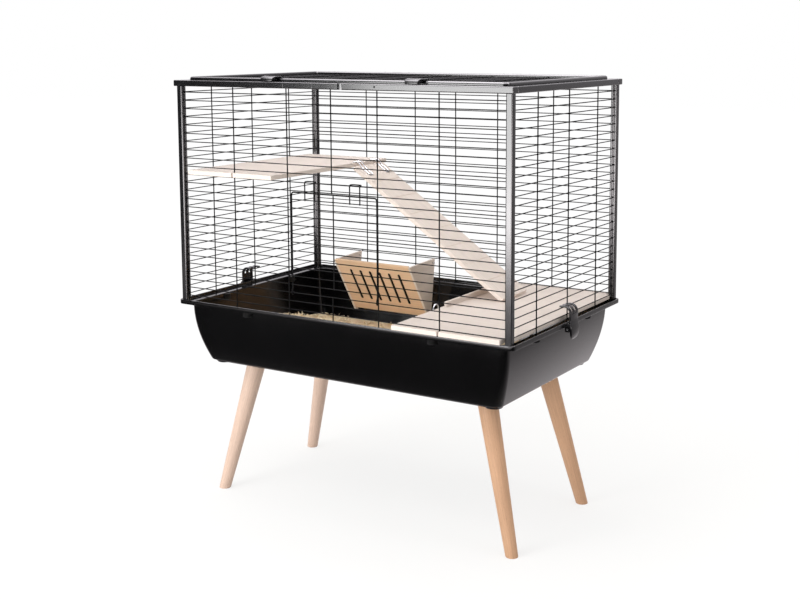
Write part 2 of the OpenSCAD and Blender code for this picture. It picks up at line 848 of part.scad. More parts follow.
module clip_bracket(sx) {
    low = clip_axis_z - clip_knuckle_r - 1.5;
    high = lip_low + lip_height;
    reach = clip_axis_x + clip_knuckle_r - tray_length / 2;
    color(black)
        mirror([sx < 0 ? 1 : 0, 0, 0])
            for (sy = [-1, 1]) {
                y0 = clip_y + (sy > 0 ? clip_lug_y : -clip_lug_y - clip_lug_t);
                difference() {
                    translate([tray_length / 2, y0, low])
                        cube([reach, clip_lug_t, high - low]);
                    wire_y(y0 - overrun, y0 + clip_lug_t + overrun, clip_axis_x, clip_axis_z,
                        clip_pin_d + 2 * pin_gap);
                }
            }
}

module clip_pins() {
    color(zinc)
        for (sx = [-1, 1])
            wire_y(clip_y - clip_lug_y - clip_lug_t, clip_y + clip_lug_y + clip_lug_t,
                sx * clip_axis_x, clip_axis_z, clip_pin_d);
}

// Lever seen from its side: a bulged grip below and above the pin, and a nose over a wire
module clip_profile() {
    nose_x = row_x - clip_nose_past;
    inner = clip_axis_x - clip_inner;
    out = clip_axis_x;
    low = clip_axis_z - clip_grip;
    neck = clip_nose_t / 2;
    polygon([
        [nose_x, clip_seat_z], [inner - 1, clip_seat_z], [inner, clip_seat_z - 1],
        [inner, low + clip_grip / 2], [out, low + 1], [out + clip_inner, low],
        [out + clip_bulge / 2, low + clip_grip / 4], [out + clip_bulge - 1, clip_axis_z - clip_knuckle_r],
        [out + clip_bulge, clip_axis_z + clip_knuckle_r], [out + clip_bulge - 1, clip_axis_z + clip_grip * 2 / 3],
        [out + clip_bulge / 2, clip_seat_z - clip_grip / 3], [out + neck, clip_seat_z + 1],
        [out, clip_seat_z + clip_nose_t], [nose_x + 1, clip_seat_z + clip_nose_t], [nose_x, clip_seat_z + neck]]);
}

module side_clip(sx) {
    slot_end_x = upright_x + 9;
    color(black)
        mirror([sx < 0 ? 1 : 0, 0, 0])
            translate([0, clip_y, 0])
                difference() {
                    union() {
                        translate([0, clip_width / 2, 0])
                            rotate([90, 0, 0])
                                linear_extrude(clip_width)
                                    clip_profile();
                        wire_y(-clip_width / 2, clip_width / 2, clip_axis_x, clip_axis_z,
                            2 * clip_knuckle_r);
                    }
                    for (sy = [-1, 1])
                        translate([row_x - 6, (sy * clip_slot_pitch - clip_slot) / 2, clip_seat_z - overrun])
                            cube([slot_end_x - row_x + 6, clip_slot, 8]);
                    wire_y(-clip_width / 2 - overrun, clip_width / 2 + overrun,
                        clip_axis_x, clip_axis_z, clip_pin_d + 2 * pin_gap);
                }
}

// ---------- boards ----------

// Slot in a board's edge that takes an upright
module upright_slot(x, sy) {
    translate([x - slot_w / 2, sy > 0 ? slot_end : -board_front - overrun, -overrun])
        cube([slot_w, board_front + overrun - slot_end, board_t + 2 * overrun]);
}

module shelf_board() {
    color(pale_wood)
        translate([0, 0, shelf_z])
            difference() {
                translate([shelf_left, -board_front, 0])
                    cube([shelf_right - shelf_left, board_front + shelf_back, board_t]);
                upright_slot(-upright_outer_x, -1);
                for (y = ramp_hook_y, side = [-1, 1])
                    translate([hook_axis_x, y + side * ramp_hook_half, -overrun])
                        cylinder(d = hook_hole_d, h = board_t + 2 * overrun);
            }
}

module platform_board() {
    color(pale_wood)
        translate([0, 0, platform_z])
            difference() {
                translate([platform_left, -board_front, 0])
                    cube([platform_right - platform_left, 2 * board_front, board_t]);
                for (sy = [-1, 1]) {
                    upright_slot(upright_outer_x, sy);
                    translate([notch_x, sy > 0 ? notch_y : -board_front - overrun, -overrun])
                        cube([tray_length, board_front + overrun - notch_y, board_t + 2 * overrun]);
                }
            }
}

module platform_batten() {
    color(pale_wood)
        translate([batten_x, batten_from, platform_top])
            cube([batten_width, batten_length, batten_height]);
}

module platform_loop() {
    r = (loop_width - fitting_d) / 2;
    centre = [loop_x, loop_from + loop_width / 2, platform_top + loop_height - r - fitting_d / 2];
    foot = [0, r, platform_top + weld_gap - centre[2]];
    color(zinc)
        bent_wire(concat(
            [centre + [0, -foot[1], foot[2]]],
            arc(centre, r, 180, 0, Y, Z, 12),
            [centre + foot]),
            fitting_d, X, 8);
}

// ---------- ramp ----------

// Puts its children in the ramp's own frame: x up the slope from the foot, z square to it
module on_ramp() {
    translate([ramp_foot_x, ramp_front, ramp_low_z])
        rotate([0, ramp_slope, 0])
            translate([-ramp_length, 0, 0])
                children();
}

module ramp_board() {
    pitch = ramp_length / ramp_sections;
    color(pale_wood)
        on_ramp()
            difference() {
                cube([ramp_length, ramp_width, board_t]);
                for (i = [1 : ramp_sections - 1])
                    translate([i * pitch - ramp_groove / 2, -overrun, board_t - ramp_groove])
                        cube([ramp_groove, ramp_width + 2 * overrun, 2 * ramp_groove]);
            }
}

// Point on the ramp's upper face, s from its top end, lifted by a fitting wire
function on_slope(s) = let (lift = board_t + weld_gap + fitting_d / 2)
    [shelf_right + ramp_gap + s * cos(ramp_slope) + lift * sin(ramp_slope),
     0,
     ramp_high_z - s * sin(ramp_slope) + lift * cos(ramp_slope)];

// Two wire staples: each dips through the shelf at both ends and lies on the ramp
module ramp_hooks() {
    corner = 2.5;
    flat_s = 8;
    end_s = 34;
    over = [hook_axis_x, 0, hook_axis_z];
    color(zinc)
        for (y = ramp_hook_y) {
            near = (y - ramp_hook_half) * Y;
            far = (y + ramp_hook_half) * Y;
            half_path = concat(
                [over - hook_drop * Z],
                arc(over + corner * X - corner * Z, corner, 180, 90, X, Z),
                [on_slope(0) + [-3, 0, hook_axis_z - on_slope(0)[2]]],
                [on_slope(flat_s), on_slope(end_s - corner)]);
            turn = [on_slope(end_s - 0.3 * corner) + 0.3 * corner * Y, on_slope(end_s) + corner * Y];
            turn_back = [on_slope(end_s) - corner * Y, on_slope(end_s - 0.3 * corner) - 0.3 * corner * Y];
            bent_wire(concat(
                [for (p = half_path) p + near],
                [for (p = turn) p + near],
                [for (p = turn_back) p + far],
                [for (i = [len(half_path) - 1 : -1 : 0]) half_path[i] + far]),
                fitting_d, [0.55, 0.3, 0.78], 8);
        }
}

// ---------- hay rack ----------

module rack_front() {
    length_x = rack_width - 2 * (rack_t + rack_fit);
    color(warm_wood)
        translate([rack_left + rack_t + rack_fit, rack_high[0], rack_high[1]])
            rotate([rack_lean, 0, 0])
                difference() {
                    cube([length_x, rack_front_length, rack_t]);
                    for (i = [0 : rack_slots - 1])
                        translate([length_x / 2 + (i - (rack_slots - 1) / 2) * rack_slot_pitch, 0, -overrun])
                            rack_slot();
                }
}

module rack_slot() {
    r = rack_slot_width / 2;
    translate([-r, rack_slot_from + r, 0])
        cube([rack_slot_width, rack_slot_to - rack_slot_from - rack_slot_width, rack_t + 2 * overrun]);
    for (y = [rack_slot_from + r, rack_slot_to - r])
        translate([0, y, 0])
            cylinder(r = r, h = rack_t + 2 * overrun);
}

module rack_side(x0) {
    color(warm_wood)
        difference() {
            translate([x0, 0, 0])
                rotate([90, 0, 90])
                    linear_extrude(rack_t)
                        polygon([rack_high, rack_low, rack_foot, [rack_back_y, rack_top]]);
            wire_x(x0 - overrun, x0 + rack_t + overrun, rack_hole[0], rack_hole[1], rack_hole_d);
        }
}

// Wire hooks through the rack's sides and over a row of the back
module rack_hooks() {
    bow = row_d / 2 + seat_gap + rack_hook_d / 2;
    turn = rack_hook_out / 2;
    color(zinc)
        for (side = [-1, 1]) {
            face = side < 0 ? rack_left : rack_left + rack_width;
            hole = [0, rack_hole[0], rack_hole[1]];
            x_out = face + side * rack_hook_out;
            bent_wire(concat(
                [hole + (face - side * (rack_t + rack_hook_in)) * X],
                arc(hole + (x_out - side * turn) * X + turn * Y, turn, -90, 0, side * X, Y),
                arc([x_out, row_y, rack_hook_row], bow, 180, -30, Y, Z, 10)),
                rack_hook_d, [0.5 * side, 0.7, -0.5], 8);
        }
}

base_tray();
litter_bed();
leg_socket(-1, -1);  // leg_socket_fl
leg_socket(1, -1);  // leg_socket_fr
leg_socket(-1, 1);  // leg_socket_bl
leg_socket(1, 1);  // leg_socket_br
leg(-1, -1);  // leg_fl
leg(1, -1);  // leg_fr
leg(-1, 1);  // leg_bl
leg(1, 1);  // leg_br
leg_bolts();
corner_post(-1, -1);  // corner_post_fl
corner_post(1, -1);  // corner_post_fr
corner_post(-1, 1);  // corner_post_bl
corner_post(1, 1);  // corner_post_br
long_rail(-1, -top_length / 2, rail_joint_x - weld_gap);  // top_rail_front_left
long_rail(-1, rail_joint_x + weld_gap, top_length / 2);  // top_rail_front_right
long_rail(1, -top_length / 2, rail_joint_x - weld_gap);  // top_rail_back_left
long_rail(1, rail_joint_x + weld_gap, top_length / 2);  // top_rail_back_right
side_rail(-1);  // top_rail_side_left
side_rail(1);  // top_rail_side_right
rail_joiner(-1);  // rail_joiner_front
rail_joiner(1);  // rail_joiner_back
front_grille_beside(-1);  // front_grille_left
front_grille_beside(1);  // front_grille_right
front_grille_upper();
front_grille_lower();
back_grille();
side_grille(-1);  // side_grille_left
side_grille(1);  // side_grille_right
front_door();
door_hooks();
roof_frame();
roof_grille();
roof_hinge_tabs();
roof_hinge_lugs();
roof_hinge_pins();
latch_lugs();
latch_pins();
roof_latch(latch_left_x);  // roof_latch_left
roof_latch(latch_right_x);  // roof_latch_right
clip_bracket(-1);  // clip_bracket_left
clip_bracket(1);  // clip_bracket_right
clip_pins();
side_clip(-1);  // side_clip_left
side_clip(1);  // side_clip_right
shelf_board();
ramp_board();
ramp_hooks();
platform_board();
platform_batten();
platform_loop();
rack_front();
rack_side(rack_left);  // rack_side_left
rack_side(rack_left + rack_width - rack_t);  // rack_side_right
rack_hooks();
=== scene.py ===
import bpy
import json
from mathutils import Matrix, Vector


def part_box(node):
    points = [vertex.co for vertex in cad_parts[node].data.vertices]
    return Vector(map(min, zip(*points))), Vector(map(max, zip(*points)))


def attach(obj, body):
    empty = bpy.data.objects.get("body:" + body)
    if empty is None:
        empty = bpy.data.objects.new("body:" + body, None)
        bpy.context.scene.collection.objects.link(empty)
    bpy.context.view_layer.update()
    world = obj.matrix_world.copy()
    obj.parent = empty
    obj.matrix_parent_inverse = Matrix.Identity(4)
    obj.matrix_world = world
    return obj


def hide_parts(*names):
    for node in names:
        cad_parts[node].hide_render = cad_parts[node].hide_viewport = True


bl_info = {
    "name": "Small Animal Cage",
    "version": (1, 0, 0),
    "blender": (4, 5, 0),
    "location": "View3D > Sidebar > Cage",
    "description": "Dresses a wire cage on a moulded tray with turned legs, boards and a hay rack",
    "category": "Add Mesh",
}

import json
import math

import bmesh
import bpy
import numpy as np
from mathutils import Matrix, Vector

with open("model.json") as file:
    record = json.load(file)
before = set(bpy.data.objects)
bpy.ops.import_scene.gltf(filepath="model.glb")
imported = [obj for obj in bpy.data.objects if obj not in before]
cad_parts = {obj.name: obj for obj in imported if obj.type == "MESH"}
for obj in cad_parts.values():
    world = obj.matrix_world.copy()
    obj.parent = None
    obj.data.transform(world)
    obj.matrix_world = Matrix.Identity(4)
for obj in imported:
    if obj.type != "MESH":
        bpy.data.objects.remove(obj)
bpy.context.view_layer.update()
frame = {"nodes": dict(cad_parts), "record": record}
BODIES = frame["record"]["behaviour"]["bodies"]
BODY_OF = {node: body for body, nodes in BODIES.items() for node in nodes}
MM = 0.001
X, Y, Z = np.eye(3)
CORNERS = (("fl", -1, -1), ("fr", 1, -1), ("bl", -1, 1), ("br", 1, 1))


def linear(code):
    """An sRGB hex value as linear red, green, blue and an alpha of 1."""
    parts = [int(code[i:i + 2], 16) / 255 for i in (1, 3, 5)]
    return tuple(c / 12.92 if c <= 0.04045 else ((c + 0.055) / 1.055) ** 2.4 for c in parts) + (1.0,)


# Sizes and colours.

def length(name, text, default, low, high):
    """A size in millimetres that the sidebar shows."""
    return bpy.props.FloatProperty(name=name, description=text, default=default, min=low, max=high)


def count(name, text, default, low, high):
    """A whole number that the sidebar shows."""
    return bpy.props.IntProperty(name=name, description=text, default=default, min=low, max=high)


def colour(name, text, code):
    """A colour that the sidebar shows, written as sRGB hex."""
    return bpy.props.FloatVectorProperty(name=name, description=text, subtype="COLOR", size=4,
                                         min=0.0, max=1.0, default=linear(code))


class CageTraySettings(bpy.types.PropertyGroup):
    """The moulded tray, its sockets and what lies in it."""
    plastic: colour("Tray plastic", "Black moulded polypropylene", "#09090a")
    grain: length("Mould grain", "Size of the tray's moulded grain in millimetres", 1.6, 0.2, 10)
    edge: length("Edge radius", "Softening of the tray's edges in millimetres", 2.2, 0.2, 4)
    shaving: colour("Shavings", "Softwood shavings", "#fdeacb")
    shavings: count("Shavings", "How many loose shavings lie on the bed", 2300, 0, 4000)


class CageWireSettings(bpy.types.PropertyGroup):
    """The coated wires."""
    coat: colour("Coat", "Black powder coat", "#09090a")
    sides: count("Sides", "Sides of a round wire", 12, 6, 24)
    bow: length("Bow", "How far a long wire strays from straight in millimetres", 0.22, 0, 1)
    weld: length("Weld", "Radius of the bead where two wires cross in millimetres", 1.45, 0.5, 2)
    zinc: colour("Zinc", "Galvanised wire and pins", "#c3c6c9")


class CageFrameSettings(bpy.types.PropertyGroup):
    """The extruded posts and rails, and the levers."""
    profile: colour("Profile", "Black extruded PVC", "#0e0e10")
    lever: colour("Lever", "Black moulded levers", "#0d0d0f")
    ease: length("Edge", "Rounding of a rail's edges in millimetres", 2.0, 0.1, 3)
    corner: length("Post corner", "Rounding of a post's corners in millimetres", 2.8, 0.5, 4)


class CageWoodSettings(bpy.types.PropertyGroup):
    """The legs and boards."""
    # Painted light: the legs are one beech; the left pair takes a paler lit copy and the right pair a
    # warmer shaded copy.
    leg: colour("Right legs", "Turned beech, the warmer pair", "#c89f80")
    painted_lit_leg: colour("Left legs", "Turned beech, the paler pair", "#d6bbaa")
    board: colour("Boards", "Sanded birch board", "#eee1d8")
    rack: colour("Rack", "Sanded pine board", "#f1cfae")
    ease: length("Edge", "Rounding of a board's edges in millimetres", 0.8, 0.1, 3)


def settings():
    """The four groups of settings."""
    scene = bpy.context.scene
    return scene.cage_tray, scene.cage_wire, scene.cage_frame, scene.cage_wood


# Materials.

def add(tree, kind, inputs=None, **values):
    """Adds a node: values are its properties, inputs its sockets' values or what is linked to them.
    Gives its outputs."""
    node = tree.nodes.new("ShaderNode" + kind)
    for key, value in values.items():
        setattr(node, key, value)
    for key, value in (inputs or {}).items():
        if isinstance(value, bpy.types.NodeSocket):
            tree.links.new(value, node.inputs[key])
        else:
            node.inputs[key].default_value = value
    return node.outputs


def material_of(name, shader):
    """The material of this name, made once: shader gives an empty tree its surface."""
    material = bpy.data.materials.get(name)
    if not material:
        material = bpy.data.materials.new(name)
        material.use_nodes = True
        material.node_tree.nodes.clear()
        add(material.node_tree, "OutputMaterial", {"Surface": shader(material.node_tree)})
    return material


def shade(code, factor):
    """A colour made darker or lighter."""
    return tuple(min(1.0, c * factor) for c in code[:3]) + (1.0,)


def noise(tree, vector, size, detail, **more):
    """Noise whose cells are size metres wide."""
    inputs = {"Vector": vector, "Scale": 1 / size, "Detail": detail, **more}
    return add(tree, "TexNoise", inputs)["Fac"]


def graded(tree, value, low, high, start=0.0, end=1.0, kind="LINEAR"):
    """A value that runs from low to high while the given one runs from start to end."""
    return add(tree, "MapRange", {"Value": value, "From Min": start, "From Max": end, "To Min": low,
                                  "To Max": high}, interpolation_type=kind)[0]


def blend(tree, factor, one, other):
    """Two colours mixed."""
    return add(tree, "Mix", {"Factor": factor, 6: one, 7: other}, data_type="RGBA")[2]


def streaks(tree, vector, size, detail, **more):
    """Noise whose cells have their own size in metres along each axis."""
    scaled = add(tree, "Mapping", {"Vector": vector, "Scale": [1 / s for s in size]})[0]
    return noise(tree, scaled, 1, detail, **more)


def relief(tree, height, strength, depth):
    """A small relief, depth metres deep."""
    return add(tree, "Bump", {"Height": height, "Strength": strength, "Distance": depth})[0]


def surface(tree, tint, roughness, **more):
    """A surface of the usual kind, with its colour and roughness."""
    return add(tree, "BsdfPrincipled", {"Base Color": tint, "Roughness": roughness, **more})[0]


def skin(name, base, tones, haze, gloss, fine, ior):
    """A dark skin: a slow noise of haze's size and detail takes its tone and gloss from the first to
    the second of each pair, and fine gives its relief from the tree and the place."""
    def shader(tree):
        place = add(tree, "TexCoord")["Object"]
        slow = noise(tree, place, *haze)
        tint = blend(tree, slow, *(shade(base, tone) for tone in tones))
        return surface(tree, tint, graded(tree, slow, *gloss), Normal=fine(tree, place), IOR=ior)
    return material_of(name, shader)


def moulded_polypropylene(name, base, grain_mm, roughness=0.14, strength=0.1):
    """Injection moulded polypropylene. The eye sees a near black body with a soft, wide gloss,
    a fine leathery grain and a faint change of gloss where the melt flowed."""
    def grain(tree, place):
        return relief(tree, noise(tree, place, grain_mm * MM, 3, Roughness=0.55), strength, 0.00008)
    gloss = roughness - 0.05, roughness + 0.07
    return skin(name, base, (0.85, 1.25), (0.11, 2), gloss, grain, 1.52)


def painted_shade_polypropylene():
    """A matt black, blacker and duller than the tray: painted shade, so that the small parts show as dark
    spots of shade.
    """
    return moulded_polypropylene("moulded_black_painted_shade", linear("#020202"), settings()[0].grain, 0.85)


def extruded_pvc(direction, along):
    """Extruded rigid PVC. The eye sees a glossier black than the tray's, with long faint drawing
    lines that follow the profile. along is 0, 1 or 2: the axis of the extrusion."""
    size = [0.25 if axis == along else 0.0016 for axis in range(3)]

    def lines(tree, place):
        return relief(tree, streaks(tree, place, size, 2), 0.08, 0.00003)
    return skin("extruded_black_pvc_" + direction, settings()[2].profile, (0.9, 1.2), (0.06, 3),
                (0.12, 0.2), lines, 1.75)


def powder_coated_wire():
    """Steel wire with a baked powder coat. The eye sees a black skin with a fine orange peel, drawn
    here at 0.9 mm, coarser than life, so that it shows."""
    def peel(tree, place):
        return relief(tree, noise(tree, place, 0.0009, 1), 0.2, 0.0001)
    coat = settings()[1].coat
    return skin("powder_coated_wire", coat, (0.8, 1.4), (0.045, 4), (0.5, 0.68), peel, 1.2)


def galvanised_steel():
    """Bright galvanised steel wire. The eye sees a grey metal with small spangles, some duller."""
    def shader(tree):
        place = add(tree, "TexCoord")["Object"]
        spangle = add(tree, "TexVoronoi", {"Vector": place, "Scale": 1 / 0.0035})["Color"]
        tone = add(tree, "SeparateColor", {"Color": spangle})
        tint = blend(tree, tone[0], shade(base, 0.72), shade(base, 1.1))
        return surface(tree, tint, graded(tree, tone[1], 0.22, 0.42), Metallic=1.0)
    base = settings()[1].zinc
    return material_of("galvanised_steel", shader)


def sawn_wood(name, base, ring_mm, contrast, fleck, roughness):
    """Planed or turned softwood or beech with a thin clear seal. The eye sees long growth lines along
    the grain, short darker pores, and a slow change of tone from place to place. The pattern lies in
    the piece's own grain attribute: across, across, along, in metres."""
    def shader(tree):
        grain = add(tree, "Attribute", attribute_name="grain")["Vector"]
        ring = ring_mm * MM
        rings = streaks(tree, grain, (ring, ring, 0.16), 4, Roughness=0.6, Distortion=0.6)
        tone = add(tree, "ValToRGB", {"Fac": rings})["Color"]
        early, late = tone.node.color_ramp.elements
        early.position, early.color = 0.30, shade(base, 1 - contrast)
        late.position, late.color = 0.72, shade(base, 1 + 0.35 * contrast)
        pores = graded(tree, streaks(tree, grain, (0.0007, 0.0007, 0.006), 1), 0, fleck, 0.60, 0.78)
        drift = graded(tree, noise(tree, grain, 0.07, 2), 0.93, 1.06)
        pored = blend(tree, pores, tone, shade(base, 0.55))
        toned = add(tree, "HueSaturation", {"Color": pored, "Value": drift})[0]
        return surface(tree, toned, roughness, Normal=relief(tree, rings, 0.15, 0.0002),
                       **{"Specular IOR Level": 0.2})
    return material_of(name, shader)


def softwood_shavings(base):
    """Planed softwood shavings. The eye sees curled flakes from straw to golden brown, each with its
    own tone, matt, with light fibres along the curl. The tone is the piece's own attribute."""
    def shader(tree):
        fibre = noise(tree, add(tree, "TexCoord")["Object"], 0.0025, 2)
        own = add(tree, "Attribute", attribute_name="tone")["Fac"]
        tone = add(tree, "ValToRGB", {"Fac": own})["Color"]
        ramp = tone.node.color_ramp.elements
        ramp[0].color, ramp[1].color = shade(base, 0.74), shade(base, 1.15)
        ramp.new(0.45).color = shade(base, 0.98)
        return surface(tree, blend(tree, fibre, tone, shade(base, 0.95)), 0.78, IOR=1.45,
                       Normal=relief(tree, fibre, 0.5, 0.0006))
    return material_of("softwood_shavings", shader)


# Meshes and objects.

def read(rows, key, kind=float, wide=1):
    """One property of every row of a mesh's table."""
    values = np.empty(len(rows) * wide, kind)
    rows.foreach_get(key, values)
    return values


def store(mesh, name, values):
    """Keeps one number or one vector a point as a named attribute."""
    values = np.asarray(values, np.float32)
    kind, key = ("FLOAT", "value") if values.ndim == 1 else ("FLOAT_VECTOR", "vector")
    mesh.attributes.new(name, kind, "POINT").data.foreach_set(key, values.ravel())


def placed(name, data):
    """A new object in the scene."""
    made = bpy.data.objects.new(name, data)
    bpy.context.scene.collection.objects.link(made)
    return made


def settle(name, mesh, material, node, sharp, flat=False):
    """Makes the object of a finished mesh: smooth but for edges sharper than an angle. flat keeps
    the light straight on flat faces beside round edges."""
    mesh.shade_smooth()
    mesh.set_sharp_from_angle(angle=math.radians(sharp))
    if flat:
        weigh_normals(mesh, math.cos(math.radians(sharp)))
    mesh.materials.clear()
    mesh.materials.append(material)
    made = placed(name, mesh)
    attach(made, BODY_OF.get(node, "cage"))
    if node:
        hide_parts(node)
    return made


def piece(name, shapes, material, node=None, sharp=40.0, flat=False, attribute=None):
    """Joins shapes, each points in millimetres and faces, into one mesh whose faces point outwards.
    It rides on the body of the node that it stands for, or on the cage."""
    starts = np.cumsum([0] + [len(points) for points, _ in shapes]).tolist()
    points = np.concatenate([points for points, _ in shapes]) * MM
    faces = [[i + start for i in face] for start, (_, part) in zip(starts, shapes) for face in part]
    mesh = bpy.data.meshes.new(name)
    mesh.from_pydata(points.tolist(), [], faces)
    mesh.validate()
    shell = bmesh.new()
    shell.from_mesh(mesh)
    bmesh.ops.recalc_face_normals(shell, faces=shell.faces)
    shell.to_mesh(mesh)
    shell.free()
    if attribute:
        store(mesh, *attribute)
    settle(name, mesh, material, node, sharp, flat)


def weigh_normals(mesh, limit):
    """At each corner of a face, the shading normal is the mean of the normals of the faces at that
    vertex that turn less than the limit, each weighted by its area."""
    vertex = read(mesh.loops, "vertex_index", np.int32)
    sides = read(mesh.polygons, "loop_total", np.int32)
    area = read(mesh.polygons, "area")
    normal = read(mesh.polygons, "normal", wide=3).reshape(-1, 3)
    face = np.repeat(np.arange(len(sides)), sides)
    order = np.argsort(vertex, kind="stable")
    grouped = vertex[order]
    rank = np.arange(len(vertex)) - np.searchsorted(grouped, grouped)
    table = np.full((len(mesh.vertices), rank.max() + 1), -1)
    table[grouped, rank] = face[order]
    near = table[vertex]
    other = normal[near]
    weight = area[near] * (near >= 0) * (np.einsum("lkc,lc->lk", other, normal[face]) > limit)
    mesh.normals_split_custom_set(unit((weight[..., None] * other).sum(1)).tolist())


def eased(node, ease, material, grain=None, segments=2):
    """A node's solid with its edges rounded: its loose triangles are merged, flat faces are joined,
    and every edge that turns more than 30 degrees gets a round of the given radius. grain turns
    points in metres into across, across, along."""
    shell = bmesh.new()
    shell.from_mesh(frame["nodes"][node].data)
    bmesh.ops.remove_doubles(shell, verts=shell.verts, dist=2e-6)
    flat, turn = math.radians(0.6), math.radians(30)
    bmesh.ops.dissolve_limit(shell, angle_limit=flat, verts=shell.verts, edges=shell.edges)
    turning = [e for e in shell.edges if len(e.link_faces) == 2 and e.calc_face_angle(0) > turn]
    bmesh.ops.bevel(shell, geom=turning, offset=ease * MM, segments=segments, profile=0.5,
                    affect="EDGES", clamp_overlap=True, harden_normals=False)
    bmesh.ops.triangulate(shell, faces=[f for f in shell.faces if len(f.verts) > 4])
    bmesh.ops.recalc_face_normals(shell, faces=shell.faces)
    mesh = bpy.data.meshes.new(node + "_finished")
    shell.to_mesh(mesh)
    shell.free()
    if grain:
        store(mesh, "grain", grain(read(mesh.vertices, "co", wide=3).reshape(-1, 3)))
    settle(node + "_finished", mesh, material, node, 32.0, flat=True)


def recoat(nodes, material):
    """Gives nodes that keep their own mesh a material."""
    for node in nodes:
        frame["nodes"][node].data.materials[0] = material


def span(node):
    """A node's box in millimetres: lowest corner and highest corner."""
    low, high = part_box(node)
    return np.array(low) / MM, np.array(high) / MM


def lie(across_one, across_two, along, shift):
    """A function that turns points into across, across, along the grain, from three directions."""
    rows = np.array([across_one, across_two, along], float)
    return lambda points: points @ rows.T + shift


# Shapes.

def at(x, y, z):
    """Points from coordinates that are numbers or rows of numbers."""
    return np.stack(np.broadcast_arrays(x, y, z), -1).astype(float)


def unit(v):
    """Rows of vectors at length one."""
    return v / np.linalg.norm(v, axis=-1, keepdims=True)


def arc(start, end, steps):
    """Points along the unit circle from one angle to another, in degrees."""
    turn = np.radians(np.linspace(start, end, steps))
    return np.column_stack([np.cos(turn), np.sin(turn)])


def circle(side, up, sides):
    """Points round a unit circle on two axes, or on each row of two rows of axes."""
    turn = np.linspace(0, 2 * np.pi, sides, endpoint=False)[:, None]
    return np.cos(turn) * side[..., None, :] + np.sin(turn) * up[..., None, :]


def grid_faces(rows, columns, wrap=True):
    """Quads between neighbouring rows of a grid of points; wrap joins the last column to the first."""
    row = np.arange(rows - 1)[:, None] * columns
    near = np.arange(columns if wrap else columns - 1)[None, :]
    far = (near + 1) % columns
    quads = [row + near, row + far, row + columns + far, row + columns + near]
    return np.stack(quads, -1).reshape(-1, 4)


def rings_shape(points, closed=False):
    """A closed shape from rings of points, one ring a row: quads between rings and a flat face on
    each end. closed joins the last ring to the first in place of the ends."""
    rows, columns = points.shape[:2]
    if closed:
        return points.reshape(-1, 3), (grid_faces(rows + 1, columns) % (rows * columns)).tolist()
    ends = [list(range(columns - 1, -1, -1)), list(range((rows - 1) * columns, rows * columns))]
    return points.reshape(-1, 3), grid_faces(rows, columns).tolist() + ends


def tube(path, radius, sides, dome=0.5):
    """A round wire along a path. The first ring's axes are carried from ring to ring, each turned
    only as far as the path turns, so that the wire doesn't twist. dome rounds the ends."""
    steps = unit(np.diff(path, axis=0))
    ends = [path[0] + steps[0] * radius * dome * k for k in (0.0, 0.35)]
    tail = [path[-1] - steps[-1] * radius * dome * k for k in (0.35, 0.0)]
    path = np.vstack([ends, path[1:-1], tail])
    steps = unit(np.diff(path, axis=0))
    ahead = unit(np.vstack([steps[:1], steps[:-1] + steps[1:], steps[-1:]]))
    side = np.zeros_like(path)
    side[0] = unit(np.cross(ahead[0], np.eye(3)[np.argmin(np.abs(ahead[0]))]))
    for i in range(1, len(path)):
        side[i] = unit(side[i - 1] - ahead[i] * np.dot(side[i - 1], ahead[i]))
    size = np.full(len(path), float(radius))
    size[[0, -1]] *= 0.62
    rim = circle(side, np.cross(ahead, side), sides)
    return rings_shape(path[:, None] + size[:, None, None] * rim)


def straight_wires(starts, ends, radius, sides, bow=0.0, seed=1, rings=9):
    """Many straight wires at once, each strays from its line by a small sine bow."""
    ahead = unit(ends - starts)
    side = unit(np.cross(ahead, np.eye(3)[np.argmin(np.abs(ahead), axis=1)]))
    up = np.cross(ahead, side)
    t = np.concatenate([[0.0], np.linspace(0.0, 1.0, rings), [1.0]])
    short = np.minimum(1.0, np.linalg.norm(ends - starts, axis=1) / 400)[:, None]
    sway = np.random.default_rng(seed).uniform(-1, 1, (len(starts), 2)) * short * bow
    off = sway[:, :1] * side + sway[:, 1:] * up
    centre = (starts[:, None] + (ends - starts)[:, None] * t[None, :, None]
              + np.sin(np.pi * t)[None, :, None] * off[:, None])
    size = np.full(len(t), float(radius))
    size[[0, -1]] *= 0.6
    centre[:, 1] += ahead * radius * 0.3
    centre[:, -2] -= ahead * radius * 0.3
    points = centre[:, :, None] + size[None, :, None, None] * circle(side, up, sides)[:, None]
    return [rings_shape(wire) for wire in points]


def weld_beads(centres, radius):
    """A small bead at each crossing of two wires: a sphere of few faces, from rings of latitude."""
    tilt = np.radians([-72, -30, 15, 60])[:, None, None]
    ball = (np.cos(tilt) * circle(X, Y, 8) + np.sin(tilt) * Z) * radius
    return [rings_shape(ball + centre) for centre in centres]


def bend(before, corner, after, back, on, steps):
    """A quadratic Bezier round a corner. It starts at a share of the way back to the point before
    and ends at a share of the way on to the point after."""
    t = np.linspace(0, 1, steps + 1)[:, None]
    a, b = corner + (before - corner) * min(back, 0.48), corner + (after - corner) * min(on, 0.48)
    return (1 - t) ** 2 * a + 2 * t * (1 - t) * corner + t ** 2 * b


def rounded_path(corners, radius):
    """A path through corners, each replaced by a curve from radius before it to radius after it."""
    corners = np.asarray(corners, float)
    out = [corners[:1]]
    for before, corner, after in zip(corners[:-2], corners[1:-1], corners[2:]):
        back, on = np.linalg.norm(before - corner), np.linalg.norm(after - corner)
        out.append(bend(before, corner, after, radius / back, radius / on, 6))
    return np.concatenate(out + [corners[-1:]])


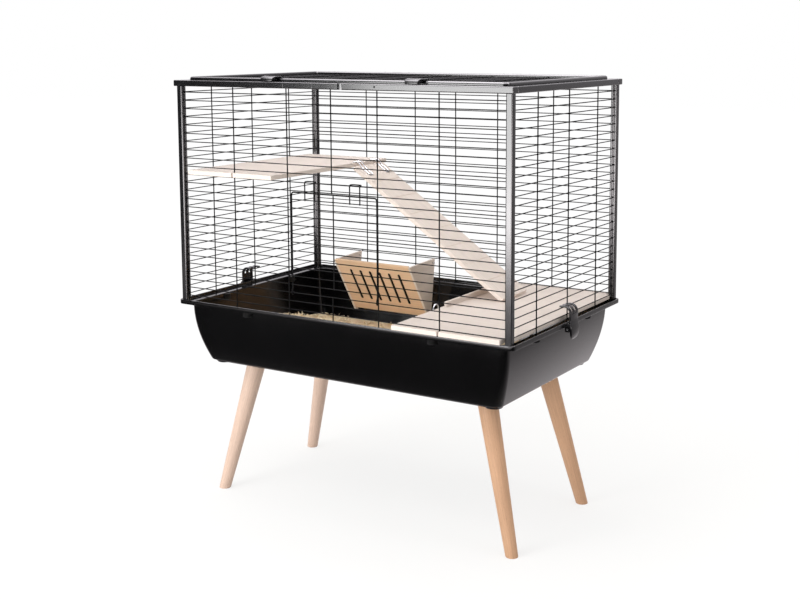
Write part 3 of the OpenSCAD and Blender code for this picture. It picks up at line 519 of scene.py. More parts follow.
def eased_levels(levels, radii, steps=4):
    """Rounds the corners of a section that runs over levels of half length, half depth, corner radius
    and height, each with its own radius."""
    levels = np.asarray(levels, float)
    out = [levels[:1]]
    for i in range(1, len(levels) - 1):
        before, here, after = levels[i - 1:i + 2]
        back, on = np.linalg.norm((before - here)[[0, 3]]), np.linalg.norm((after - here)[[0, 3]])
        if radii[i] <= 0 or back < 1e-6 or on < 1e-6:
            out.append(levels[i:i + 1])
        else:
            out.append(bend(before, here, after, radii[i] / back, radii[i] / on, steps))
    return np.concatenate(out + [levels[-1:]])


def rounded_rings(levels, corner=12):
    """Rings of a rounded rectangle at each level: four arcs about the corner centres, in order."""
    half_x, half_y, radius, height = np.asarray(levels, float).T[:, :, None]
    turn = np.radians(np.arange(4)[:, None] * 90 + np.linspace(0, 90, corner + 1)[None]).ravel()
    x = np.repeat([1, -1, -1, 1], corner + 1) * (half_x - radius) + radius * np.cos(turn)
    y = np.repeat([1, 1, -1, -1], corner + 1) * (half_y - radius) + radius * np.sin(turn)
    return at(x, y, height)


def section(half_wide, half_thick, round_to, corner=4):
    """A rounded rectangle about the origin."""
    return rounded_rings([[half_wide, half_thick, round_to, 0]], corner)[0, :, :2]


def lathe(profile, foot, axis, sides):
    """A turned shape: radius and height pairs swung about an axis that starts at foot."""
    radius, height = np.asarray(profile, float).T[:, :, None, None]
    side = unit(np.cross(axis, Z if abs(axis[2]) < 0.9 else Y))
    rim = circle(side, np.cross(axis, side), sides)
    return rings_shape(np.asarray(foot, float) + height * axis + radius * rim)


def strap(stations, across, centre, round_to=1.2):
    """A strap along a curve: each station is two places in the plane that the strap bends in, then
    its thickness and width. Between stations it follows a Catmull-Rom curve, and each ring is a
    rounded rectangle square to the curve. across is the axis of the width, 0 for X or 1 for Y."""
    fine = smooth_rows(np.asarray(stations, float), 4)
    rings = []
    for (a, b, thick, wide), (run, rise) in zip(fine, unit(np.gradient(fine[:, :2], axis=0))):
        loop = section(wide / 2, thick / 2, min(round_to, 0.48 * thick, 0.48 * wide))
        ring = at(centre + loop[:, 0], a - loop[:, 1] * rise, b + loop[:, 1] * run)
        rings.append(ring if across == 0 else ring[:, [1, 0, 2]])
    return rings_shape(np.array(rings))


def hoop(outer, corner, wide, thick, round_to):
    """A bar bent to a rounded rectangle: its section, a rounded rectangle too, is carried round. outer
    holds the half length, the half depth and the height of the top."""
    levels = [[outer[0] - wide / 2 + u, outer[1] - wide / 2 + u, max(corner - wide / 2 + u, 0.8),
               outer[2] - thick / 2 + v] for u, v in section(wide / 2, thick / 2, round_to, 5)]
    return rings_shape(rounded_rings(levels, 8), closed=True)


def drawn(profile, low, high, ease):
    """A profile in Y and Z drawn along X from low to high, with its ends eased."""
    profile = np.asarray(profile, float)
    middle = (profile.min(0) + profile.max(0)) / 2
    shrink = 1 - 2 * ease / (profile.max(0) - profile.min(0)).min()
    return rings_shape(np.array([at(x, *(middle + (profile - middle) * scale).T) for x, scale in (
        (low, shrink), (low + ease, 1), (high - ease, 1), (high, shrink))]))


def smooth_rows(rows, steps):
    """Catmull-Rom: a curve through every row, with steps points from each row to the next."""
    padded = np.vstack([2 * rows[:1] - rows[1:2], rows, 2 * rows[-1:] - rows[-2:-1]])
    t = np.linspace(0, 1, steps, endpoint=False)[:, None]
    out = [(2 * b + (c - a) * t + (2 * a - 5 * b + 4 * c - d) * t ** 2
            + (3 * b - a - 3 * c + d) * t ** 3) / 2
           for a, b, c, d in zip(padded[:-3], padded[1:-2], padded[2:-1], padded[3:])]
    return np.concatenate(out + [rows[-1:]])


def block(one, other, round_to, ease):
    """A box between two opposite corners, with round upright edges and eased flat ones."""
    low, high = np.minimum(one, other), np.maximum(one, other)
    x, y = ((high - low) / 2)[:2]
    levels = [[x - 2 * ease, y - 2 * ease, round_to, low[2]], [x, y, round_to, low[2]],
              [x, y, round_to, high[2]], [x - 2 * ease, y - 2 * ease, round_to, high[2]]]
    rings = rounded_rings(eased_levels(levels, [0, ease, ease, 0], 3), 4)
    return rings_shape(rings + [*((low + high)[:2] / 2), 0])


def soft_noise(x, y, cell, seed):
    """Smooth noise from 0 to 1: random heights on a lattice of the given cell, blended with the curve
    3t^2 - 2t^3."""
    lattice = np.random.default_rng(seed).random((256, 256))
    u, v = x / cell + 128, y / cell + 128
    i, j = np.floor(u).astype(int) % 255, np.floor(v).astype(int) % 255
    s, t = u - np.floor(u), v - np.floor(v)
    s, t = s * s * (3 - 2 * s), t * t * (3 - 2 * t)
    low = lattice[i, j] * (1 - s) + lattice[i + 1, j] * s
    high = lattice[i, j + 1] * (1 - s) + lattice[i + 1, j + 1] * s
    return low * (1 - t) + high * t


# Tray and litter.

# The tray in millimetres: heights of its rim, the lip's foot, what the posts stand on, its underside
# and the rib, and the half length and half depth of its body under the lip.
RIM_TOP, LIP_LOW, SEAT, DECK, RIB_LOW = 432.5, 423.5, 426.5, 300.0, 297.0
BODY_X, BODY_Y = 378.5, 230.5


def tray_half(z):
    """Half length and half depth of the tray's body at a height: drawn in by a power curve."""
    share = np.clip((LIP_LOW - z) / (LIP_LOW - DECK), 0, 1) ** 1.95
    return BODY_X - 27.5 * share, BODY_Y - 25 * share


def tray_levels(edge):
    """The tray's section as one run of levels, from the middle of its underside out over the rib, up
    the curved wall, round the rim and down the inner wall to the middle of its floor."""
    steps, floor = 18, DECK + 3
    outer, inner = np.linspace(DECK, LIP_LOW, steps), np.linspace(SEAT, floor, steps)
    levels = [[200, 60, 5, DECK], [340, 194.5, 5, DECK], [340, 194.5, 5, RIB_LOW],
              [344, 198.5, 9, RIB_LOW], [344, 198.5, 9, DECK]]
    levels += [[x, y, 16, z] for x, y, z in zip(*tray_half(outer), outer)]
    levels += [[400, 245, 12, LIP_LOW], [400, 245, 12, RIM_TOP]]
    levels += [[396, 241, 8, RIM_TOP], [396, 241, 8, SEAT]]
    levels += [[x - 3, y - 3, 13, z] for x, y, z in zip(*tray_half(inner), inner)]
    levels += [[250, 90, 5, floor]]
    wall = [0] * (steps - 2)
    rim = [2, 1.2, edge * 0.7, 1.2, 1.0, 1.6]
    return eased_levels(levels, [0, 1, 1, 1, 1, 5 * edge / 2.2] + wall + rim + wall + [7, 0])


class CAGE_OT_tray(bpy.types.Operator):
    """Makes the moulded tray, with its rim lugs"""
    bl_idname = "cage.tray"
    bl_label = "Tray"

    def execute(self, context):
        look = settings()[0]
        plastic = moulded_polypropylene("moulded_black_polypropylene", look.plastic, look.grain)
        shapes = [rings_shape(rounded_rings(tray_levels(look.edge)))]
        foot = [(0.5, 294), (15, 294), (16.6, 294.4), (17.4, 295.4), (20, 301), (0.5, 301)]
        lug = [(0.5, 411.5), (7.6, 411.5), (9.2, 412.1), (10, 413.5), (10, 424.5), (0.5, 424.5)]
        lugs = []
        for _, sx, sy in CORNERS:
            lugs.append(lathe(lug, (sx * 222, sy * BODY_Y, 0), Z, 32))
            lugs.append(lathe(lug, (sx * BODY_X, sy * 116, 0), Z, 32))
            shapes.append(lathe(foot, (sx * 327, sy * 181.5, 0), Z, 40))
        piece("tray_moulding", shapes, plastic, "base_tray")
        # Painted shade: the lugs take the blacker, duller plastic, which stands in for the shade beneath
        # the rim.
        piece("tray_lugs", lugs, painted_shade_polypropylene())
        for corner, _, _ in CORNERS:
            eased("leg_socket_" + corner, 1.2, plastic)
        return {"FINISHED"}


def round_off(x, y, half_x, half_y, corner):
    """Moves the points of a rectangle into one with round corners: past a corner's centre the
    square distance becomes a round one."""
    dx = np.maximum(np.abs(x) - (half_x - corner), 0)
    dy = np.maximum(np.abs(y) - (half_y - corner), 0)
    far = np.hypot(dx, dy)
    factor = np.where(far > 0, np.maximum(dx, dy) / np.maximum(far, 1e-9), 1)
    return np.sign(x) * (np.abs(x) - dx + dx * factor), np.sign(y) * (np.abs(y) - dy + dy * factor)


def bed_height(x, y, top):
    """The bed's height: three sizes of soft noise below the top, and a heap that rises to the left
    wall, in front of its middle."""
    rough = (0.5 * soft_noise(x, y, 60, 1) + 0.3 * soft_noise(x, y, 17, 2)
             + 0.2 * soft_noise(x, y, 6, 3))
    across = np.clip((-170 - x) / 150, 0, 1)
    heap = 34 * across * across * (3 - 2 * across) * np.exp(-((y - 5) / 110) ** 2)
    return top - 1 - 9 * rough + heap


def tip(shapes, angle, i, j):
    """Turns each shape of a stack by its own angle, from axis i towards axis j."""
    c, s = np.cos(angle)[:, None, None], np.sin(angle)[:, None, None]
    a, b = shapes[..., i], shapes[..., j]
    shapes[..., i], shapes[..., j] = c * a - s * b, s * a + c * b


def flakes(chance, number, half_x, half_y, top):
    """Curled flakes: each a strip bent to an arc, tilted and turned at random, as one shape. Also
    gives each point its flake's tone."""
    margin, steps, thick = 14, 6, 0.28
    reach_x, reach_y = half_x - margin, half_y - margin
    x, y = (chance.uniform(-reach, reach, number) for reach in (reach_x, reach_y))
    x, y = round_off(x, y, reach_x, reach_y, margin)
    long, wide = chance.uniform(7, 19, number), chance.uniform(2.4, 6, number)
    curl, tilt = chance.uniform(3.5, 11, number)[:, None], chance.uniform(-0.6, 0.6, (number, 2))
    spin = chance.uniform(0, 2 * np.pi, number)
    along = np.linspace(-0.5, 0.5, steps)[None] * (long[:, None] / curl)
    flip = np.where(chance.random(number) < 0.5, -1.0, 1.0)[:, None]
    side, face = np.array([[-1, -1], [1, -1], [1, 1], [-1, 1]]).T / 2
    c, s = np.cos(along), np.sin(along)
    shapes = at((curl * s)[..., None] - (s * flip)[..., None] * face * thick,
                wide[:, None, None] * side,
                (flip * curl * (1 - c))[..., None] + c[..., None] * face * thick)
    tip(shapes, tilt[:, 0], 1, 2)
    tip(shapes, tilt[:, 1], 2, 0)
    tip(shapes, spin, 0, 1)
    lift = bed_height(x, y, top) + chance.uniform(0.0, 1.6, number)
    shapes += at(x, y, lift)[:, None, None]
    size = 4 * steps
    ends = [[3, 2, 1, 0], [size - 4, size - 3, size - 2, size - 1]]
    faces = np.vstack([grid_faces(steps, 4), ends]) + (np.arange(number) * size)[:, None, None]
    tones = np.repeat(chance.beta(2.2, 1.6, number), size)
    return (shapes.reshape(-1, 3), faces.reshape(-1, 4).tolist()), tones


class CAGE_OT_litter(bpy.types.Operator):
    """Makes the bed of loose shavings: a rough mound and curled flakes on it"""
    bl_idname = "cage.litter"
    bl_label = "Litter"

    def execute(self, context):
        look = settings()[0]
        low, high = span("litter_bed")
        half_x, half_y = (high - low)[:2] / 2
        rows, columns = 190, 104
        u, v = np.meshgrid(np.linspace(-1, 1, rows), np.linspace(-1, 1, columns), indexing="ij")
        x, y = round_off(u * half_x, v * half_y, half_x, half_y, 12.0)
        wall = np.maximum(np.abs(u), np.abs(v)) > 0.999
        top = at(x, y, bed_height(x, y, high[2]) - 2 * wall).reshape(-1, 3)
        order = np.arange(len(top)).reshape(rows, columns)
        rim = np.concatenate([order[0, :-1], order[:-1, -1], order[-1, :0:-1], order[:0:-1, 0]])
        under = top[rim] * [0.955, 0.925, 0] + [0, 0, low[2]]
        beneath = len(top) + np.arange(len(rim))
        skirt = np.stack([rim, np.roll(rim, -1), np.roll(beneath, -1), beneath], -1)
        faces = grid_faces(rows, columns, wrap=False).tolist() + skirt.tolist() + [beneath.tolist()]
        points = np.vstack([top, under])
        loose, tones = flakes(np.random.default_rng(11), look.shavings, half_x, half_y, high[2])
        bed_tone = 0.35 + 0.4 * soft_noise(points[:, 0], points[:, 1], 5, 5)
        piece("litter_shavings", [(points, faces), loose], softwood_shavings(look.shaving),
              "litter_bed", 60, attribute=("tone", np.concatenate([bed_tone, tones])))
        return {"FINISHED"}


# Legs and boards.

def taper(foot, head, foot_radius, head_radius, sides=56):
    """A cone from foot to head, cut level with the floor: each line up the cone starts where its
    height is zero. The ends are eased by a small step in of the radius. Also gives each point's
    place across, across and along the leg."""
    height = np.linalg.norm(head - foot)
    axis = (head - foot) / height
    side = unit(np.cross(axis, Y))
    rim = circle(side, np.cross(side, axis), sides)
    growth = (head_radius - foot_radius) / height
    start = -rim[:, 2] * foot_radius / (axis[2] + rim[:, 2] * growth)
    share = np.array([0, 0, 0.0006, 0.002, 0.005, 0.1, 0.25, 0.4, 0.55, 0.7, 0.85, 0.994, 0.998, 1, 1])
    shrink = np.array([0.9, 0.945, 0.965, 0.985, 1, 1, 1, 1, 1, 1, 1, 1, 0.985, 0.95, 0.8])
    t = start[None] + share[:, None] * (height - start[None])
    radius = ((foot_radius + growth * t) * shrink[:, None])[..., None]
    points = foot + t[..., None] * axis + radius * rim
    points[:2, :, 2] = 0.0
    return points, radius * circle(X, Y, sides) + t[..., None] * Z


class CAGE_OT_legs(bpy.types.Operator):
    """Makes the four turned legs"""
    bl_idname = "cage.legs"
    bl_label = "Legs"

    def execute(self, context):
        look = settings()[3]
        # Painted light: the left legs take the paler lit copy of the beech, the right legs the warmer
        # shaded copy.
        beech = {-1: sawn_wood("lacquered_beech_painted_lit", look.painted_lit_leg, 2.4, 0.16, 0.5, 0.42),
                 1: sawn_wood("lacquered_beech_painted_shade", look.leg, 2.4, 0.16, 0.5, 0.42)}
        foot, head = np.array([355.5, 160.5, 0.0]), np.array([284.5, 128.5, 285.0])
        for name, sx, sy in CORNERS:
            mirror = np.array([sx, sy, 1.0])
            points, along = taper(foot * mirror, head * mirror, 12.25, 20.0)
            grain = along.reshape(-1, 3) * MM + [0.05 * sx, 0.05 * sy, 0.3 * sx + 0.1 * sy]
            piece("leg_turned_" + name, [rings_shape(points)], beech[sx], "leg_" + name, 35,
                  attribute=("grain", grain))
        recoat(["leg_bolts"], galvanised_steel())
        return {"FINISHED"}


def birch(name, factor=1.0):
    """Sanded birch board, its colour made darker by a factor: a darker copy is painted shade for boards
    that take more light.
    """
    return sawn_wood(name, shade(settings()[3].board, factor), 5.5, 0.075, 0.22, 0.6)


class CAGE_OT_boards(bpy.types.Operator):
    """Makes the shelf, ramp, platform and batten"""
    bl_idname = "cage.boards"
    bl_label = "Boards"

    def execute(self, context):
        ease = settings()[3].ease
        # Painted shade: the shelf, the platform and its batten take a copy of the birch made darker by
        # 0.88, so that the level boards lit from above don't show paler than the rest.
        level = birch("sanded_birch_level_painted_shade", 0.88)
        eased("shelf_board", ease, level, lie(Y, Z, X, 0.13))
        low, high = span("ramp_board")
        slope = math.atan2(high[2] - low[2] - 7.4, high[0] - low[0] - 5.2)
        run, rise = (math.cos(slope), 0, -math.sin(slope)), (math.sin(slope), 0, math.cos(slope))
        eased("ramp_board", ease, birch("sanded_birch_board"), lie(Y, rise, run, 0.41))
        eased("platform_board", ease, level, lie(Y, Z, X, 0.77))
        eased("platform_batten", 0.6, level, lie(X, Z, Y, 0.9))
        return {"FINISHED"}


def slot_edge(x):
    """A thin dark lining in one slot of the rack, painted shade on the slot's walls: a closed band in the
    board's plane, from just before its front to just behind its back."""
    top, down, thick, proud = np.array([114.05, 475.55]), np.array([0.5326, -0.8464]), 5.0, 0.06
    behind = np.array([-down[1], down[0]])
    start, end, half = 25.0, 115.0, 3.25
    rings = []
    for inset, depth in ((0.5, -proud), (0.02, -proud), (0.02, thick + proud), (0.5, thick + proud)):
        loop = section(half - inset, (end - start) / 2 - inset, half - inset, 8)
        place = top + (loop[:, 1:] + (start + end) / 2) * down + depth * behind
        rings.append(at(x + loop[:, 0], *place.T))
    return rings_shape(np.array(rings), closed=True)


class CAGE_OT_rack(bpy.types.Operator):
    """Makes the hay rack's boards, and the bands of painted shade that line its slots"""
    bl_idname = "cage.rack"
    bl_label = "Hay rack"

    def execute(self, context):
        look = settings()[3]
        lean, middle, pitch = math.radians(60), -148.5, 26.0
        fall, out = (0, math.cos(lean), -math.sin(lean)), (0, math.sin(lean), math.cos(lean))
        pine = sawn_wood("sanded_pine_board", look.rack, 6.5, 0.10, 0.3, 0.58)
        eased("rack_front", look.ease, pine, lie(fall, out, X, 0.21))
        slots = [slot_edge(middle + (i - 2.5) * pitch) for i in range(6)]
        # Painted shade: a near black wood colour on the bands, which stands in for the shade inside the
        # slots.
        slot_shade = sawn_wood("painted_slot_shade", linear("#22170f"), 1.5, 0.3, 0.3, 0.7)
        piece("rack_slot_painted_shade", slots, slot_shade, None, 30, True,
              ("grain", np.vstack([points for points, _ in slots]) * MM))
        for side, shift in (("left", 0.55), ("right", 0.63)):
            eased("rack_side_" + side, look.ease, birch("sanded_birch_side"), lie(X, Z, Y, shift))
        return {"FINISHED"}


# Frame.

# Heights of the rails' underside and top, and the place of the front rail's face.
RAIL_LOW, RAIL_TOP, RAIL_FRONT = 883.5, 896.0, -245.0


def post(sx, sy, corner):
    """The post of one corner, square with round corners. Its two outer faces are smooth, and the two
    that face along the panels have a channel with round lips."""
    half, channel, deep, lip, low, high = 7.0, 2.2, 2.4, 0.9, SEAT, RAIL_LOW
    mouth = [half - lip, channel + lip] + lip * arc(0, -90, 5)
    side = np.vstack([[(half - deep - 1.2, 0.0), (half - deep, channel)], mouth[::-1]])
    inner = np.vstack([side[:0:-1] * [1, -1], side])
    outer = half - corner + corner * arc(0, 90, 9)
    quarter = np.array([[0, 1], [-1, 0]])
    loop = np.vstack([part @ np.linalg.matrix_power(quarter, turns) for turns, part in (
        (0, outer), (1, outer), (2, inner), (2, outer), (3, inner), (3, outer))]) * [sx, sy]
    levels = ((low, 0.955), (low + 0.3, 1), (low + 0.7 * (high - low), 1), (high - 0.3, 1),
              (high, 0.97))
    centre = [sx * 386.0, sy * 233.0]
    return rings_shape(np.array([at(*(loop * scale + centre).T, z) for z, scale in levels]))


def roof_hinges(material):
    """Each roof hinge: a plate on the frame that ends in a knuckle, and two round-topped lugs."""
    axis, knuckle, wall = np.array([236.0, 900.6]), 2.0, 2.2
    frame_top, plate_start, half_tab, lug_end, lug_wide = 900.0, 216.5, 12.0, 34.0, 4.0
    lug = np.vstack([axis + wall * arc(0, 180, 13),
                     [(axis[0] - wall - 0.9, RAIL_TOP), (axis[0] + wall + 0.9, RAIL_TOP)]])
    barrel = axis + knuckle * circle(X, Y, 24)[:, :2]
    plate = [(plate_start, frame_top), (axis[0], frame_top), (axis[0], 901.3), (plate_start, 901.3)]
    tabs, lugs = [], []
    for x in (-155.0, 155.0):
        tabs += [drawn(barrel, x - half_tab, x + half_tab, 0.4),
                 drawn(plate, x - half_tab, x + half_tab, 0.3)]
        lugs += [drawn(lug, x - lug_end, x - lug_end + lug_wide, 0.4),
                 drawn(lug, x + lug_end - lug_wide, x + lug_end, 0.4)]
    piece("roof_hinge_knuckles", tabs, material, "roof_hinge_tabs", 30, True)
    piece("roof_hinge_ears", lugs, material, "roof_hinge_lugs", 30, True)


def rail_marks(material):
    """The marks on the front rail: two fine raised joints, the sleeve where its halves meet, and a
    small screw head."""
    front, low, high = RAIL_FRONT, RAIL_LOW, RAIL_TOP
    shapes = [block((x - 0.7, front - 0.35, low + 0.8), (x + 0.7, front + 2, high - 0.8), 0.3, 0.25)
              for x in (-111.0, -41.0)]
    shapes.append(block((20.5, front - 0.5, low + 0.3), (31.0, front + 3, high - 0.2), 0.45, 0.4))
    piece("rail_marks", shapes, material, None, 30)
    screw = [(0.05, 0.5), (0.9, 0.5), (1.6, 0.4), (2.0, 0.0), (0.05, -0.4)]
    # The screw head takes the same blacker, duller plastic of painted shade, so that it shows as a dark
    # spot.
    piece("rail_screw", [lathe(screw, (105.0, front, 890.6), -Y, 16)], painted_shade_polypropylene(), None,
          30)


class CAGE_OT_frame(bpy.types.Operator):
    """Finishes the posts, the top rails, the roof's frame and their fittings"""
    bl_idname = "cage.frame"
    bl_label = "Posts and rails"

    def execute(self, context):
        look = settings()[2]
        lengthwise, crosswise, upright = map(extruded_pvc, ("lengthwise", "crosswise", "upright"), range(3))
        for name, sx, sy in CORNERS:
            tab = block((sx * 374.0, sy * 236.0, SEAT), (sx * 380.5, sy * 240.0, 432.0), 1, 0.6)
            piece("post_profile_" + name, [post(sx, sy, look.corner), tab], upright,
                  "corner_post_" + name, 24, True)
        for place, material in (("front_", lengthwise), ("back_", lengthwise), ("side_", crosswise)):
            eased("top_rail_" + place + "left", look.ease, material, segments=4)
            eased("top_rail_" + place + "right", look.ease, material, segments=4)
        low, high = span("roof_frame")
        high[2] += 2.8
        bar = hoop(high, 12.0, 10.0, high[2] - low[2], 4.6)
        piece("roof_frame_bar", [bar], lengthwise, "roof_frame", 35, True)
        eased("latch_lugs", 0.35, lengthwise, segments=1)
        roof_hinges(lengthwise)
        rail_marks(lengthwise)
        recoat(("roof_hinge_pins", "latch_pins", "clip_pins", "rail_joiner_front",
                "rail_joiner_back"), galvanised_steel())
        return {"FINISHED"}


def latch(x):
    """A roof latch: a domed tongue from its knuckle over the rail, with two ribs under it."""
    tongue = [(-220.5, 904.6, 3.0, 34), (-225, 905.2, 3.0, 34), (-231, 905.3, 3.0, 33.5),
              (-237, 904.4, 3.2, 32), (-241, 901.6, 3.4, 30), (-242.2, 898.2, 2.6, 28),
              (-242.2, 896.6, 1.6, 26)]
    rib = [(-222, 902.6, 2.0, 3), (-229, 901.4, 4.0, 3), (-236, 900.6, 5.4, 3), (-240.4, 899.6, 4.6, 3)]
    knuckle = [(0.1, -17), (2.6, -17), (3.2, -16.4), (3.2, 16.4), (2.6, 17), (0.1, 17)]
    return [strap(tongue, 0, x), lathe(knuckle, (x, -219, 903.6), X, 24),
            strap(rib, 0, x - 12.5, 0.8), strap(rib, 0, x + 12.5, 0.8)]


def clip():
    """A side clip of the right end: a lever that swells over its knuckle, narrows at the rim and
    splits into three prongs that arch in over the wire."""
    middle = -7.0
    lever = [(407.4, 399.2, 1.6, 15), (408.4, 401.4, 2.8, 23), (409.3, 405.2, 3.8, 30),
             (409.9, 411, 4.8, 34.5), (409.9, 420, 5.2, 36), (408.7, 428.5, 4.8, 36),
             (407.4, 436, 4.2, 35.5), (407.6, 443, 4.0, 36), (408.0, 449.5, 3.8, 36)]
    prong = [(407.7, 447.5, 3.7, 8), (407.6, 453.5, 3.6, 7.8), (404.6, 459.6, 3.5, 7.4),
             (399.2, 463.2, 3.4, 7.2), (393.2, 463.9, 3.4, 7.2), (388.4, 463.3, 3.4, 7.6),
             (385.2, 463.2, 3.2, 8)]
    knuckle = [(0.1, -18), (3.3, -18), (3.95, -17.3), (3.95, 17.3), (3.3, 18), (0.1, 18)]
    shapes = [strap(lever, 1, middle, 1.6), lathe(knuckle, (404.6, middle, 421), Y, 24)]
    return shapes + [strap(prong, 1, middle + offset, 1.4) for offset in (-14, 0, 14)]


class CAGE_OT_levers(bpy.types.Operator):
    """Makes the roof latches and the side clips"""
    bl_idname = "cage.levers"
    bl_label = "Latches and clips"

    def execute(self, context):
        lever = moulded_polypropylene("moulded_black_levers", settings()[2].lever, 1.0, 0.22, 0.1)
        for side, x in (("left", -153.0), ("right", 185.0)):
            piece("roof_latch_lever_" + side, latch(x), lever, "roof_latch_" + side, 35)
        for side, sx in (("left", -1), ("right", 1)):
            shapes = [(points * [sx, 1, 1], faces) for points, faces in clip()]
            piece("side_clip_lever_" + side, shapes, lever, "side_clip_" + side, 35)
            eased("clip_bracket_" + side, 0.6, lever)
        return {"FINISHED"}


# Wires.

# The planes of the uprights and rows on the front and back, then on the ends; the wires' radii and
# the gap where they cross; the space above the top row and below the last.
UPRIGHT_Y, ROW_Y, UPRIGHT_X, ROW_X = 238.85, 236.55, 390.45, 388.15
ROW_R, UPRIGHT_R, GAP, ABOVE, BENEATH = 1.0, 1.25, 0.05, 12.4, 16.5
PITCH = (RAIL_LOW - SEAT - ABOVE - BENEATH) / 25
ROWS = RAIL_LOW - ABOVE - np.arange(26) * PITCH
# The first row that the door's opening cuts and the first below it; the uprights' places and ends.
CUT, WHOLE = 12, 23
UPRIGHTS = np.array([-242.5, -107.0, 0.0, 107.0, 242.5])
LOW, HIGH = 426.8, 883.2


class CAGE_OT_wires(bpy.types.Operator):
    """Makes the wire sides and the roof's wires, with a bead at each crossing"""
    bl_idname = "cage.wires"
    bl_label = "Wires"

    def execute(self, context):
        end, inner = 378.95, 105.75
        for side, name in ((-1, "left"), (1, "right")):
            self.front_or_back("front", name, ROWS[CUT:WHOLE], sorted((side * inner, side * end)), -1,
                               side * UPRIGHTS[3:], 10 + side, bead_rows=ROWS)
        for name, rows, seed, low, high in (("upper", ROWS[:CUT], 30, ROWS[CUT - 1] - 1, HIGH),
                                            ("lower", ROWS[WHOLE:], 40, LOW, ROWS[WHOLE] + 1)):
            self.front_or_back("front", name, rows, (-end, end), -1, UPRIGHTS[2:3], seed, low, high)
        self.front_or_back("back", "", ROWS, (-end, end), 1, UPRIGHTS, 50)
        ys, reach = np.array([-134.5, 0.0, 134.5]), 225.95
        for side, name in ((-1, "left"), (1, "right")):
            row, upright = side * ROW_X, side * UPRIGHT_X
            seam = side * ((UPRIGHT_X + ROW_X) / 2 + 0.1)
            self.panel("side", name, (at(row, -reach, ROWS), at(row, reach, ROWS)),
                       (at(upright, ys, LOW), at(upright, ys, HIGH)), at(seam, ys[:, None], ROWS),
                       60 + side)
        ys = np.arange(-12, 13) * PITCH
        ys = ys[np.abs(ys) <= 212]
        z, reach_x, reach_y = 892 + 8 / 3, 365.95, 213.95
        above = z + ROW_R + UPRIGHT_R + GAP
        self.panel("roof", "", (at(-reach_x, ys, z), at(reach_x, ys, z)),
                   (at(UPRIGHTS, -reach_y, above), at(UPRIGHTS, reach_y, above)),
                   at(UPRIGHTS[:, None], ys, z + 1.1), 70)
        return {"FINISHED"}

    def front_or_back(self, place, name, rows, ends, sy, xs, seed, low=LOW, high=HIGH,
                      bead_rows=None):
        """A panel of the front, with sy -1, or of the back, with sy 1."""
        y, upright, seam = sy * ROW_Y, sy * UPRIGHT_Y, sy * ((UPRIGHT_Y + ROW_Y) / 2 + 0.1)
        beads = at(xs[:, None], seam, rows if bead_rows is None else bead_rows)
        self.panel(place, name, [at(x, y, rows) for x in ends],
                   (at(xs, upright, low), at(xs, upright, high)), beads, seed)

    @staticmethod
    def panel(place, name, rows, uprights, beads, seed):
        """One panel: its rows and its uprights, each as the wires' starts and ends, and its beads."""
        tail = "_" + name if name else ""
        look = settings()[1]
        shapes = straight_wires(*rows, ROW_R, look.sides, look.bow, seed)
        shapes += straight_wires(*uprights, UPRIGHT_R, look.sides, look.bow, seed + 1)
        shapes += weld_beads(beads.reshape(-1, 3), look.weld)
        piece(place + "_wires" + tail, shapes, powder_coated_wire(), place + "_grille" + tail, 50)


class CAGE_OT_door(bpy.types.Operator):
    """Makes the door: a bent frame wire with a curl round the hinge wire at each foot, its own cross
    wires, and the two hooks"""
    bl_idname = "cage.door"
    bl_label = "Door"

    def execute(self, context):
        look = settings()[1]
        sides, weld, coat = look.sides, look.weld, powder_coated_wire()
        radius, half, middle, clear = 1.5, 101.5, 2.0, 0.35
        left, right, hinge, top = middle - half, middle + half, ROWS[WHOLE], ROWS[CUT - 1] - 3.2
        rows = ROWS[CUT:WHOLE]
        curl_r = ROW_R + clear + radius
        curl_y, curl_z = curl_r * arc(180, 405, 16).T
        foot = np.vstack([[0, -ROW_Y, hinge + 13.0], [0, -ROW_Y - 0.3, hinge + 9.5],
                          [0, -ROW_Y - curl_r * 0.8, hinge + 4.0],
                          at(0, -ROW_Y + curl_y, hinge + curl_z)])
        over = rounded_path([[left, -ROW_Y, hinge + 16], [left, -ROW_Y, top], [right, -ROW_Y, top],
                             [right, -ROW_Y, hinge + 16]], 6.5)
        bent = np.vstack([foot[::-1] + [left, 0, 0], over, foot + [right, 0, 0]])
        shapes = [tube(bent, radius, sides)]
        door_y = -(ROW_Y + radius + GAP + ROW_R)
        shapes += straight_wires(at(left - radius, door_y, rows), at(right + radius, door_y, rows),
                                 ROW_R, sides, look.bow, 80)
        mid_y = door_y + ROW_R + UPRIGHT_R + GAP
        shapes += straight_wires(at([middle], mid_y, rows[-1] - 2), at([middle], mid_y, top - 1.55),
                                 UPRIGHT_R, sides)
        shapes += weld_beads(at([[left], [right]], door_y + 1.2, rows).reshape(-1, 3), weld)
        shapes += weld_beads(at(middle, door_y + 1.0, rows), weld)
        piece("door_wires", shapes, coat, "front_door", 50)
        hook_r = 1.25
        hook_y, low = door_y - ROW_R - GAP - hook_r, rows[0] - 1.3
        crown = ROWS[CUT - 2] + 1.3 + hook_r
        shapes = []
        for x in (-51.0, 56.0):
            a, b = x - 11.75, x + 11.75
            path = [[a, 0, low], [a, 0, crown], [a, 6.6, crown], [x - 4, 5.4, crown + 0.5],
                    [x + 4, 6.8, crown + 0.2], [b, 6.6, crown], [b, 0, crown], [b, 0, low]]
            shapes.append(tube(rounded_path(path, 3.2) + [0, hook_y, 0], hook_r, sides))
            shapes += weld_beads(at([a, b], hook_y + 1.2, rows[0]), weld)
        piece("door_hook_wires", shapes, coat, "door_hooks", 50)
        return {"FINISHED"}


